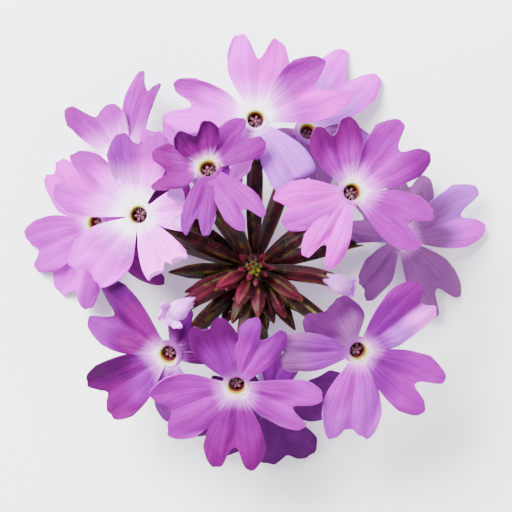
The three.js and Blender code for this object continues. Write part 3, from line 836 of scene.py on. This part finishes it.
def tube_of(stem, name, floret):
    """The tube from inside the calyx to the eye, with the throat let in."""
    end, mouth = stem.long, stem.mouth
    # each ring's radius and height, then how far out and how much of an under side it is painted
    profile = [
        (TUBE, mouth - TUBE_INSIDE, 9, 1), (TUBE, mouth + 0.6, 8.5, 1),
        (TUBE + 0.2, mouth + (end - mouth) * 0.35, 7, 1), (0.95, end - 3, 6, 1),
        (1.28, end - 1.4, 5, 1), (1.5, end - 0.5, 4, 1), (2, end - 0.1, 3, 1),
        (2.02, end + 0.02, 2.2, 0), (1.75, end + 0.17, 1.95, 0),
        (1.42, end + 0.2, 1.5, 0), (THROAT + 0.14, end + 0.08, 1.2, 0),
        (THROAT, end - 0.2, 0.95, 0), (THROAT - 0.06, end - 0.7, 0.6, 0),
        (THROAT - 0.2, end - 1.5, 0.3, 0), (THROAT - 0.45, end - THROAT_DEPTH, 0, 0),
    ]
    tube, ring, angle = turned(name, profile, TUBE_SIDES)
    rows = np.array(profile)
    paint(tube, out=rows[ring, 2], across=np.sin(angle * 2.5), edge=0, lot=0, under=rows[ring, 3])
    base = np.mean([hex_colour(TINTS[p["colour"]]) for p in floret["petals"]], axis=0)
    tint(tube, base, floret["white"] / 10)
    set_points(tube, stem.lay(points_of(tube)))
    return tube


# %% All thirteen florets
EYE_MIDDLE = 0.05  # nearer to the middle than this, a point counts as on neither side


def paint_away(piece, eye):
    """Stores how far each point lies on the side of the eye that looks out of the head."""
    outward = unit(eye[:2] - AXIS)
    from_eye = points_of(piece)[:, :2] - eye[:2]
    distance = np.maximum(np.linalg.norm(from_eye, axis=1), EYE_MIDDLE)
    paint(piece, away=from_eye @ outward / distance)


def eye_of(floret):
    """The middle of the eye. A floret that rests hangs just low enough to touch the table."""
    face = face_of(floret["lean"], floret["towards"])
    eye = np.array([*floret["eye"], 0])[:3].astype(float)
    if len(floret["eye"]) == 2:
        lowest = min(place_petal(sheet(p, blank_u, blank_v)[0], eye, face, p["at"])[:, 2].min()
                     for p in floret["petals"])
        eye[2] = PETAL_THICK / 2 - lowest
    return eye, face


STEMS = {}
florets = {}
for floret_name, floret in FLORETS.items():
    eye, face = eye_of(floret)
    STEMS[floret_name] = (Stem(eye, face, floret["foot"]), eye, face)
    whole = blades(floret, eye, face, f"blades_{floret_name}")
    tube = tube_of(STEMS[floret_name][0], f"tube_{floret_name}", floret)
    piece = join([whole, tube], f"floret_{floret_name}")
    paint_away(piece, eye)
    soften(piece)
    florets[floret_name] = piece
print("faces in a floret:", len(florets["upper_1"].data.polygons), "florets:", len(florets))


# %% [markdown]
# ## Petal finish
# A verbena petal is satin: soft light on it, no hard shine. The colour is palest round the
# throat, where a white eye fades out in streaks along the veins, and a yellow-green ring edges
# the dark maroon throat. The ring is the throat's own colour, but it is painted only on the side
# of the eye that looks out of the head, with mauve on the other side: that difference between
# the sides is painted light and shade on the throat's wall. Deep down, the throat is painted
# darker still, as painted shade. The under side is a paler lilac. An image for each petal could
# show this, but the painted values give it to every petal from one finish, with no seams. A fine
# relief of cells and veins breaks the light.

# %% Satin, and what it reads from the petals
satin = Finish("petal_satin", Roughness=0.5, Subsurface_Weight=0.12, Subsurface_Scale=0.0008,
               Specular_IOR_Level=0.05)
satin.shader.inputs["Subsurface Radius"].default_value = (1, 0.5, 0.9)
out, across, edge, lot, under, away = (
    satin.number(name) for name in ("out", "across", "edge", "lot", "under", "away"))
own = satin.attribute("tint")
colour, white = own.outputs["Color"], Value(satin, own.outputs["Alpha"]) * 10
outer = away.rising(-0.7, 0.6)
print("petal finish nodes:", len(satin.tree.nodes))

# %% Veins, streaks and clouds
streaks = satin.noise(satin.spot(across * 7, out * 0.22, lot), 1.6, 4)
clouds = satin.noise(satin.spot(across * 1.1, out * 0.24, lot + 4), 1.5)
wander = (satin.noise(satin.spot(out * 0.35, across * 0.8, lot), 1.2, 2) - 0.5) * 0.28
ridge = ((across + wander) * (math.pi * VEINS)).sine().size()
vein = (1 - ridge) ** 5
deep = satin.mix(colour, (0.6, 0.4, 0.66), 1, "MULTIPLY")
light = satin.mix(satin.mix(colour, (1.3, 1.3, 1.3), 1, "MULTIPLY"), "#ff28ff", 0.07)
body = satin.layers(
    colour,
    (light, clouds.rising(0.42, 0.74) * 0.3),
    (deep, (1 - clouds.rising(0.24, 0.5)) * 0.15),
    (deep, vein * (0.1 + (1 - out.rising(2, 9)) * 0.12)),
    (deep, streaks.rising(0.5, 0.72) * 0.1),
    (deep, edge.rising(0.3, 0.9) * (0.1 + clouds * 0.3)),
    (light, edge.rising(0.9, 1) * 0.15),
)
print("petal finish nodes:", len(satin.tree.nodes))

# %% The white eye, its yellow-green ring and the dark throat
reach = out + (streaks - 0.5) * 1.4 + vein * 0.3 + (1 - outer) * 1.3
body = satin.layers(
    body,
    ("#ee88fc", (1 - reach.rising(white * 0.4, white * 1.3)) * (0.3 + outer * 0.4)),
    ("#f6eefb", (1 - reach.rising(white * 0.3, white * 0.75)) * 0.92),
    # the ring on the outward side only, and mauve on the inward side: painted light and shade on
    # the throat's wall
    ("#d9cf8e", (1 - out.rising(1.4, 2.1)) * outer * 0.7),
    ("#8a7d14", (1 - out.rising(1.16, 1.6)) * outer),
    ("#8a4a80", (1 - out.rising(1, 1.35)) * (1 - outer)),
    ("#5e1c26", 1 - out.rising(0.86, 1.16)),
    # darker still deep down the throat: painted shade
    ("#3a0e18", 1 - out.rising(0.2, 0.7)),
)
print("petal finish nodes:", len(satin.tree.nodes))

# %% The paler under side, and the relief
back = satin.layers(
    colour, ("#d49af0", 0.55), (deep, vein * 0.22), ("#efe6f2", 1 - out.rising(1.5, 3.4)))
satin.show("Base Color", satin.mix(body, back, under.rising(0.75, 1)))
grain = satin.cells(satin.place(), 9000)
satin.show("Roughness", 0.44 + clouds * 0.14 + grain * 0.06)
satin.relief(vein * -0.6 + streaks * 0.55 + grain * 0.22, 0.09)
for floret_name, piece in florets.items():
    satin.wear(piece)
    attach(piece, "root")
    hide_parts(f"corolla_{floret_name}")
print("petal finish nodes:", len(satin.tree.nodes))

# %% [markdown]
# ## What closes the throat
# A verbena's throat is stopped by a tuft of short hairs that lean in from the wall. Under them
# the anthers stand in a ring round the stigma; five small grains and one in the middle give the
# star that shows in each eye. Both are modelled once, upright, with the tuft's bare side along
# x. A copy sits in each eye with that side turned out of the head, where the dark wall shows.

# %% Grains and bristles
rng = random.Random(5)


def grain_at(name, place, size, turn=0):
    """A small rounded grain, long along z."""
    bpy.ops.mesh.primitive_ico_sphere_add(subdivisions=2, radius=MM)
    piece = made(name)
    spots = points_of(piece) * np.array(size)
    cosine, sine = math.cos(turn), math.sin(turn)
    spots = spots @ np.array([[cosine, sine, 0], [-sine, cosine, 0], [0, 0, 1]])
    set_points(piece, spots + np.array(place))
    return piece


def drawn_out(cone, root, tip, thick, aside):
    """The points of an upright cone, 1 mm high, laid from a root to a tip."""
    heading = unit(tip - root)
    side = unit(np.cross(heading, aside))
    along = (cone[:, 2:] + 0.5) * np.linalg.norm(tip - root)
    ring = (side * cone[:, :1] + np.cross(heading, side) * cone[:, 1:2]) * thick
    return root + heading * along + ring


def bristle(name, root, tip, thick):
    """A hair: a three-sided cone from its root to its tip."""
    bpy.ops.mesh.primitive_cone_add(vertices=3, radius1=MM, depth=MM, end_fill_type="TRIFAN")
    piece = made(name)
    root, tip = np.array(root, float), np.array(tip, float)
    set_points(piece, drawn_out(points_of(piece), root, tip, thick, [0.3, 0.5, 0.81]))
    return piece


print("grains and bristles ready")

# %% The anthers and the tuft, made once
ANTHERS = 5
ANTHER_RING = 0.5
ANTHER_LEVEL, STIGMA_LEVEL = -0.66, -0.8  # below the eye
ANTHER_SIZE, STIGMA_SIZE = (0.32, 0.25, 0.3), (0.3, 0.3, 0.3)
TUFT_HAIRS = 20
TUFT_SPAN = math.radians(240)
grains = []
for i in range(ANTHERS):
    way = 2 * math.pi * i / ANTHERS
    middle = (ANTHER_RING * math.cos(way), ANTHER_RING * math.sin(way), ANTHER_LEVEL)
    grains.append(grain_at("anther", middle, ANTHER_SIZE, way))
grains.append(grain_at("stigma", (0, 0, STIGMA_LEVEL), STIGMA_SIZE))
anthers_blank = join(grains, "anthers_blank")
hairs = []
for i in range(TUFT_HAIRS):
    way = math.pi + TUFT_SPAN * (i / (TUFT_HAIRS - 1) - 0.5) + rng.uniform(-0.1, 0.1)
    root = (math.cos(way), math.sin(way), rng.uniform(-0.8, -0.4))
    inner = rng.uniform(0.3, 0.7)
    aside = way + rng.uniform(-0.6, 0.6)
    tip = (inner * math.cos(aside), inner * math.sin(aside), rng.uniform(-0.4, -0.1))
    hairs.append(bristle("hair", root, tip, rng.uniform(0.05, 0.09)))
tuft_blank = join(hairs, "tuft_blank")
print("faces in a tuft and its anthers:",
      len(tuft_blank.data.polygons), len(anthers_blank.data.polygons))


# %% A tuft in each eye
def in_eye(blank, name, eye, face, turn):
    """A copy of an upright piece, stood in a floret's eye."""
    piece = copy_of(blank, name)
    set_points(piece, place_petal(points_of(blank), eye, face, turn))
    return piece


tufts, anthers = [], []
for floret_name, (_, eye, face) in STEMS.items():
    outward = math.degrees(math.atan2(eye[1] - AXIS[1], eye[0] - AXIS[0]))
    turn = outward + rng.uniform(-25, 25)
    tufts.append(in_eye(tuft_blank, f"tuft_{floret_name}", eye, face, turn))
    turn = rng.uniform(0, 90)
    anthers.append(in_eye(anthers_blank, f"anthers_{floret_name}", eye, face, turn))
tufts = join(tufts, "throat_hairs")
anthers = join(anthers, "throat_anthers")
soften(anthers, 80)
print("throat pieces:", tufts.name, anthers.name)

# %% Their finishes
hair_finish = Finish("pale_hair", Roughness=0.55, Subsurface_Weight=0.1, Subsurface_Scale=0.0004)
speckle = hair_finish.noise(hair_finish.place(), 2500)
hair_finish.show("Base Color", hair_finish.mix("#4a2030", "#7e5068", speckle.rising(0.35, 0.62)))
anther_finish = Finish("anther_skin", Roughness=0.5, Specular_IOR_Level=0.25)
speckle = anther_finish.noise(anther_finish.place(), 1800)
anther_finish.show("Base Color", anther_finish.mix("#46222e", "#6c4052", speckle.rising(0.4, 0.62)))
anther_finish.relief(speckle, 0.05)
for piece, finish in ((tufts, hair_finish), (anthers, anther_finish)):
    finish.wear(piece)
    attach(piece, "root")
print("throat finishes:", hair_finish.material.name, anther_finish.material.name)

# %% [markdown]
# ## Calyces
# The calyx is the floret's holder: a tube with five ribs that ends in five awl-like teeth. It
# is made upright from a cylinder: its rings follow a profile, the ribs stand out of it, and the
# top ring is drawn up into a crown. Those that have lost their floret, or hold an unripe bud,
# are closed to a point. Every calyx is a copy, laid along its own stem, which is far easier
# than modelling it bent.

# %% A ribbed calyx, upright
RIBS = 5
FURROW = 0.03  # how much deeper the middle of a furrow is, as a share of the radius
CROWN_FROM = 0.8  # the part of the height where the teeth begin
CALYX_SIDES = 40
CALYX_RINGS = 19


def calyx_blank(name, profile, crown, keep):
    """profile is (radius, height), crown how far the teeth stand above the last ring, and keep
    how much of the radius is left between the ribs."""
    fine = np.linspace(0, 1, CALYX_RINGS)
    rows = np.array(profile)
    places = np.linspace(0, 1, len(rows))
    radius, height = np.interp(fine, places, rows[:, 0]), np.interp(fine, places, rows[:, 1])
    piece, ring, angle = turned(name, list(zip(radius, height)), CALYX_SIDES)
    rib = np.cos(angle * RIBS / 2) ** 2
    spots = points_of(piece)
    spots[:, :2] *= (keep + (1 - keep) * rib ** 3 - FURROW * (1 - rib) ** 4)[:, None]
    spots[:, 2] = height[ring] + crown * rib ** 2.6 * smooth(fine[ring], CROWN_FROM, 1)
    set_points(piece, spots)
    paint(piece, rib=rib, part=spots[:, 2] / (rows[-1, 1] + crown))
    return piece


print("calyx tool ready")

# %% An open and a closed calyx
OPEN_LONG = 8.6
CLOSED_LONG = 8.5
CLOSED_CROWN = 0.35
CLOSED_TIP = CLOSED_LONG + CLOSED_CROWN
CALYX_THICK = 0.12
calyx_open = calyx_blank("calyx_open", [
    (0.05, 0.5), (0.5, 0.7), (0.86, 2), (1.16, 3.6), (1.28, 5.2), (1.28, 7), (1.16, 8.1),
    (1.12, OPEN_LONG),
], 1.3, 0.86)
choose_nothing("VERT")
for vertex in calyx_open.data.vertices:
    # the middle of the lid, which goes to leave the calyx open
    vertex.select = vertex.co.z > 4 * MM and math.hypot(vertex.co.x, vertex.co.y) < 0.01 * MM
in_edit_mode((bpy.ops.mesh.delete, {"type": "VERT"}))
modify(calyx_open, "SOLIDIFY", thickness=CALYX_THICK * MM, offset=-1)
calyx_closed = calyx_blank("calyx_closed", [
    (0.05, 0.7), (0.5, 0.9), (0.85, 2.4), (1.15, 4), (1.26, 5.4), (1.05, 6.8), (0.5, 8),
    (0.1, CLOSED_LONG),
], CLOSED_CROWN, 0.82)
print("calyx faces:", len(calyx_open.data.polygons), len(calyx_closed.data.polygons))

# %% Laying the calyces along their stems
CLOSED = [  # each one's tip, and how high its foot is on the spike
    ((-12.2, -2.6, 11.4), 8), ((-9.9, -5.4, 12.2), 9), ((-5.4, -4.8, 17.2), 12.2),
    ((-2.6, -7.4, 17), 12), ((0.4, -8.8, 15.4), 11), ((2.6, -9.8, 12.4), 9),
    ((5.6, -10.8, 9.8), 7), ((6.6, -6.6, 13.6), 10.4), ((7.4, 2.8, 14.4), 11),
    ((-3.3, -9.8, 13.4), 10), ((-6.8, -8.2, 12.6), 9.4), ((1.6, -11, 9.6), 7.4),
    ((4.2, -9, 12.2), 9), ((-5, -10.4, 9.2), 6.6), ((-1.2, -10.8, 9.6), 7), ((7.4, -8.8, 9.6), 6.8),
]
for bud_name, bud in BUDS.items():
    eye, face = eye_of(bud)
    STEMS[f"bud_{bud_name}"] = (Stem(eye, face, bud["foot"], calyx_share=0.74), eye, face)
rng = random.Random(11)
calyces = []
calyx_stems = []
for stem_name, (stem, _, _) in STEMS.items():
    calyx = copy_of(calyx_open, f"calyx_{stem_name}")
    spots = points_of(calyx)
    # the teeth keep their size; only the cup below them is drawn out
    teeth = np.maximum(spots[:, 2] - OPEN_LONG, 0)
    spots[:, 2] = (spots[:, 2] - teeth) * stem.mouth / OPEN_LONG + teeth
    set_points(calyx, stem.lay(spots))
    paint(calyx, blush=rng.uniform(0, 0.7))
    calyces.append(calyx)
    calyx_stems.append((stem, stem.mouth))
for tip, foot in CLOSED:
    tip = np.array(tip)
    stem = Stem(tip, unit(tip - np.array([*AXIS, foot])), foot)
    calyx = copy_of(calyx_closed, "calyx_shut")
    spots = points_of(calyx)
    spots[:, 2] *= stem.long / CLOSED_TIP
    set_points(calyx, stem.lay(spots))
    paint(calyx, blush=rng.uniform(0.2, 0.9))
    calyces.append(calyx)
    calyx_stems.append((stem, stem.long))
calyx_piece = join(calyces, "calyces")
soften(calyx_piece, 60)
print("calyces:", len(calyx_stems), "faces:", len(calyx_piece.data.polygons))


# %% [markdown]
# ## Calyx finish
# Calyces are leathery and a little glossy, maroon with olive-green ribs and crimson towards the
# teeth. They are painted darker than their own maroon, as painted shade deep in the head, and
# near black in the furrows, as painted shade between the ribs. The ribs and the height are
# painted on the meshes, so one finish follows them on every calyx, and a painted blush makes
# each a little different.

# %% The calyces' shader
calyx_finish = Finish("calyx_skin", Roughness=0.42, Specular_IOR_Level=0.13)
rib, part, blush = (calyx_finish.number(name) for name in ("rib", "part", "blush"))
place = calyx_finish.place()
mottle = calyx_finish.noise(place, 900, 4)
fine_skin = calyx_finish.noise(place, 4200)
patches = calyx_finish.noise(place, 260, 2)
green = calyx_finish.mix("#282c08", "#4c5210", mottle.rising(0.35, 0.6))
calyx_finish.show("Base Color", calyx_finish.layers(
    # a base darker than the calyces' own maroon: painted shade deep in the head
    "#120405",
    ("#400e16", mottle.rising(0.35, 0.65)),
    ("#700430", (blush - 0.3).within() * part.rising(0.2, 0.9)),
    (green, rib.rising(0.66, 0.97) * patches.rising(0.4, 0.58) * (1.1 - blush * 0.8).within()),
    # the furrows painted near black: painted shade between the ribs
    ("#0d0506", (1 - rib.rising(0.02, 0.35)) * 0.6),
))
calyx_finish.show("Roughness", 0.34 + mottle * 0.25)
calyx_finish.relief(fine_skin * 0.7 + mottle * 0.6, 0.06)
calyx_finish.wear(calyx_piece)
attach(calyx_piece, "root")
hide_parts("spike_with_calyces")
print("calyx finish nodes:", len(calyx_finish.tree.nodes))

# %% [markdown]
# ## Stalk and spike
# A verbena's stalk is square. It is cut short here, and its cut end shows a pale pith. A cube
# is stretched to the stalk, its long edges are bevelled and its foot is inset for the pith,
# just as one would do by hand. The spike on it is a turned core that the calyces cover.

# %% The square stalk
STALK_WIDE = 2.3
STALK_ROUND = 0.4
RIND, PITH_RIM, PITH_SUNK = 0.22, 0.3, 0.06
SPIKE_FOOT = 4
SPIKE_TOP = 14
bpy.ops.mesh.primitive_cube_add(size=2 * MM)
stalk = made("stalk")
half = STALK_WIDE / 2
stalk_top = SPIKE_FOOT + 1
size = [half, half, (stalk_top - STALK_FOOT) / 2]
set_points(stalk, points_of(stalk) * size + [*AXIS, (stalk_top + STALK_FOOT) / 2])
choose_upright_edges(stalk, 1)
in_edit_mode((bpy.ops.mesh.bevel, {"offset": STALK_ROUND * MM, "segments": 4}))
for face in stalk.data.polygons:
    face.select = face.normal.z < -0.9
in_edit_mode((bpy.ops.mesh.inset, {"thickness": RIND * MM}),
             (bpy.ops.mesh.inset, {"thickness": PITH_RIM * MM, "depth": PITH_SUNK * MM}))
near_axis = np.linalg.norm(points_of(stalk)[:, :2] - AXIS, axis=1)
paint(stalk, pith=1 - smooth(near_axis, 0.45, 0.95))
print("stalk faces:", len(stalk.data.polygons))

# %% The spike's core
core, _, _ = turned("core", [
    (1.1, 3.4), (1.6, SPIKE_FOOT), (1.45, 8), (1.25, 12), (0.8, SPIKE_TOP), (0.3, SPIKE_TOP + 0.3),
], 20)
set_points(core, points_of(core) + [*AXIS, 0])
paint(core, pith=0)
spike = join([stalk, core], "stalk_and_spike")
soften(spike, 40)
stalk_finish = Finish("stalk_skin", Roughness=0.5)
pith = stalk_finish.number("pith")
place = stalk_finish.place()
mottle = stalk_finish.noise(place, 700, 4)
stalk_finish.show("Base Color", stalk_finish.layers(
    "#4b5a22", ("#5a2630", mottle.rising(0.4, 0.62)), ("#c6cf9a", pith.rising(0.3, 0.7))))
stalk_finish.relief(mottle + stalk_finish.noise(place, 5000), 0.06)
stalk_finish.wear(spike)
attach(spike, "root")
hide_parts("spike_with_calyces")
print("spike:", spike.name)

# %% [markdown]
# ## The young top of the spike
# At the very top the spike is still growing: a green knot of tiny buds, a ring of small crimson
# calyces that stand almost upright, and whitish hairs between them. The small calyces are
# copies of the closed calyx, scaled down and leaned out from the knot.

# %% Small crimson calyces
GOLDEN = math.pi * (3 - math.sqrt(5))
YOUNG = 9
YOUNG_LONG = 3.5
YOUNG_LEAN = 48
YOUNG_SLIM = 0.42
YOUNG_AWAY = 0.35  # from the spike's axis
YOUNG_SUNK = 1.9  # below the spike's top
rng = random.Random(3)
young = []
for i in range(YOUNG):
    turn = i * GOLDEN
    lean = math.radians(YOUNG_LEAN - i * 2)
    long = YOUNG_LONG - i * 0.1
    calyx = copy_of(calyx_closed, "young")
    spots = points_of(calyx) * [YOUNG_SLIM, YOUNG_SLIM, long / CLOSED_TIP]
    away = np.array([math.cos(turn), math.sin(turn), 0])
    heading = away * math.sin(lean) + np.array([0, 0, math.cos(lean)])
    side = np.array([-away[1], away[0], 0])
    root = np.array([*AXIS, SPIKE_TOP - YOUNG_SUNK + i * 0.1]) + away * YOUNG_AWAY
    set_points(calyx, root + spots @ np.stack([side, np.cross(heading, side), heading]))
    paint(calyx, blush=rng.uniform(0.7, 1.3))
    young.append(calyx)
young = join(young, "young_calyces")
soften(young, 60)
calyx_finish.wear(young)
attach(young, "root")
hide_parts("spike_with_calyces")
print("young calyces:", YOUNG)

# %% The green knot
KNOT_BUDS = 11
KNOT_SPREAD = 0.3
KNOT_RISE = 1.8
KNOT_DROP = 0.55  # how fast the knot falls away from its middle
KNOT_BUD_SIZE = (0.36, 0.3, 0.6)
grains = []
for i in range(KNOT_BUDS):
    away = KNOT_SPREAD * math.sqrt(i)
    turn = i * GOLDEN
    x, y = AXIS + [away * math.cos(turn), away * math.sin(turn)]
    middle = (x, y, SPIKE_TOP + KNOT_RISE - away * away * KNOT_DROP)
    grains.append(grain_at("grain", middle, KNOT_BUD_SIZE, turn))
knot = join(grains, "spike_tip_buds")
soften(knot, 80)
knot_finish = Finish("young_bud_skin", Roughness=0.55, Specular_IOR_Level=0.15)
place = knot_finish.place()
mottle = knot_finish.noise(place, 1500)
flush = knot_finish.noise(place, 1100, 2)
knot_finish.show("Base Color", knot_finish.layers(
    "#2a2c04", ("#626008", mottle.rising(0.35, 0.6)), ("#4a1018", flush.rising(0.56, 0.7))))
knot_finish.relief(mottle, 0.1)
knot_finish.wear(knot)
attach(knot, "root")
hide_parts("spike_tip")
print("knot buds:", KNOT_BUDS)

# %% [markdown]
# ## Hairs
# Fine white hairs stand on the calyces and are thickest round the top of the spike. A particle
# system could grow them, but plain meshes travel better. Each is a three-sided cone, and all
# are in one mesh, set down at random from a fixed seed.

# %% Many hairs in one mesh
def hair_mesh(name, roots, tips, thick):
    """Many hairs at once: a copy of one cone's points for each root and tip."""
    bpy.ops.mesh.primitive_cone_add(vertices=3, radius1=MM, depth=MM, end_fill_type="NGON")
    one = made(name)
    cone = points_of(one)
    faces = [tuple(f.vertices) for f in one.data.polygons]
    all_spots, all_faces = [], []
    for k, (root, tip) in enumerate(zip(roots, tips)):
        all_spots.append(drawn_out(cone, root, tip, thick, [0.31, 0.52, 0.79]))
        all_faces += [tuple(v + k * len(cone) for v in f) for f in faces]
    mesh = bpy.data.meshes.new(name)
    mesh.from_pydata((np.concatenate(all_spots) * MM).tolist(), [], all_faces)
    one.data = mesh
    return one


def ring_spots(turn, away, height):
    """Points at these turns round an upright axis, this far from it and this high."""
    return np.stack([away * np.cos(turn), away * np.sin(turn), height], 1)


print("hair tools ready")

# %% Hairs on the calyces and round the knot
CALYX_HAIRS = 26
TOP_HAIRS = 90
HAIR_THICK = 0.018
HAIR_OUT, TOP_HAIR_OUT = 0.45, 0.5  # how far a hair's tip stands out from its root
HAIR_LOWEST, HAIR_HIGHEST = 1.2, 0.92  # above a calyx's foot, and as a share of its length
CALYX_GIRTH = 1.1
STRAY = 0.25
rng = np.random.default_rng(8)
roots, tips = [], []
for stem, long in calyx_stems:
    height = rng.uniform(HAIR_LOWEST, long * HAIR_HIGHEST, CALYX_HAIRS)
    turn = rng.uniform(0, 2 * np.pi, CALYX_HAIRS)
    radius = CALYX_GIRTH * np.sin(np.pi * np.clip(height / long, 0.12, 0.85)) ** 0.6
    spots = ring_spots(turn, radius, height)
    roots.append(stem.lay(spots))
    tips.append(stem.lay(spots + ring_spots(turn, HAIR_OUT, rng.uniform(0.2, 0.5, CALYX_HAIRS))))
turn = rng.uniform(0, 2 * np.pi, TOP_HAIRS)
away = rng.uniform(0.3, 1.7, TOP_HAIRS)
spots = ring_spots(turn, away, SPIKE_TOP + 1.2 - away * 0.7) + [*AXIS, 0]
ends = spots + ring_spots(turn, TOP_HAIR_OUT, rng.uniform(0.4, 1.1, TOP_HAIRS))
roots.append(spots)
tips.append(ends + rng.normal(0, STRAY, ends.shape))
hairs = hair_mesh("spike_hairs", np.concatenate(roots), np.concatenate(tips), HAIR_THICK)
white_hair = Finish("white_hair", Roughness=0.6)
speckle = white_hair.noise(white_hair.place(), 3000)
white_hair.show("Base Color", white_hair.mix("#5c4c48", "#a89c90", speckle))
white_hair.wear(hairs)
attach(hairs, "root")
print("hairs:", sum(len(r) for r in roots))

# %% [markdown]
# ## Buds
# Two buds have pushed their coloured tips out of their calyces but haven't opened. A bud is a
# swollen tube with its petals still crumpled together, so it is a turned form with a few small
# lobes coming away, made with the same tools as a floret.

# %% The two buds
BUD_RADIUS = 1.4
BUD_FOLDS, BUD_FOLD_DEPTH = 5, 0.05
BUD_SIDES = 28
BUD_OUT = 6  # so far out the finish shows no eye
for bud_name, bud in BUDS.items():
    stem, eye, face = STEMS[f"bud_{bud_name}"]
    end, mouth = stem.long, stem.mouth
    profile = [
        (TUBE, mouth - TUBE_INSIDE), (TUBE + 0.05, mouth),
        (0.85, mouth + (end - mouth) * 0.3), (1.2, end - 1.6), (BUD_RADIUS, end - 1),
        (1.38, end - 0.4), (1.15, end + 0.15), (0.75, end + 0.55), (0.3, end + 0.72),
    ]
    bulb, _, angle = turned(f"bulb_{bud_name}", profile, BUD_SIDES)
    spots = points_of(bulb)
    folds = 1 + BUD_FOLD_DEPTH * np.cos(angle * BUD_FOLDS) * smooth(spots[:, 2], end - 3, end - 1)
    spots[:, :2] *= folds[:, None]
    set_points(bulb, stem.lay(spots))
    paint(bulb, out=BUD_OUT, across=np.sin(angle * 2.5), edge=0, lot=2, under=1, away=0)
    tint(bulb, hex_colour(TINTS["pearl"]), bud["white"] / 10)
    lobes = blades(bud, eye, face, f"lobes_{bud_name}")
    paint(lobes, out=BUD_OUT, away=0, under=1)
    piece = join([lobes, bulb], f"bud_piece_{bud_name}")
    soften(piece)
    satin.wear(piece)
    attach(piece, "root")
    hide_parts(f"bud_{bud_name}")
print("buds made:", list(BUDS))

# %% [markdown]
# ## Setting everything in place
# All pieces so far were made round the spike's written axis. One shift in their meshes brings
# them onto the solids. The blanks that copies were made from go.

# %% Shift, blanks and sizes
for blank in (petal_blank, tuft_blank, anthers_blank, calyx_open, calyx_closed):
    bpy.data.objects.remove(blank)
for piece in list(bpy.context.scene.objects):
    if piece.type == "MESH" and "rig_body" in piece and "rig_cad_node" not in piece:
        piece.data.transform(Matrix.Translation(Vector(SHIFT) * MM))
        piece.data.update()
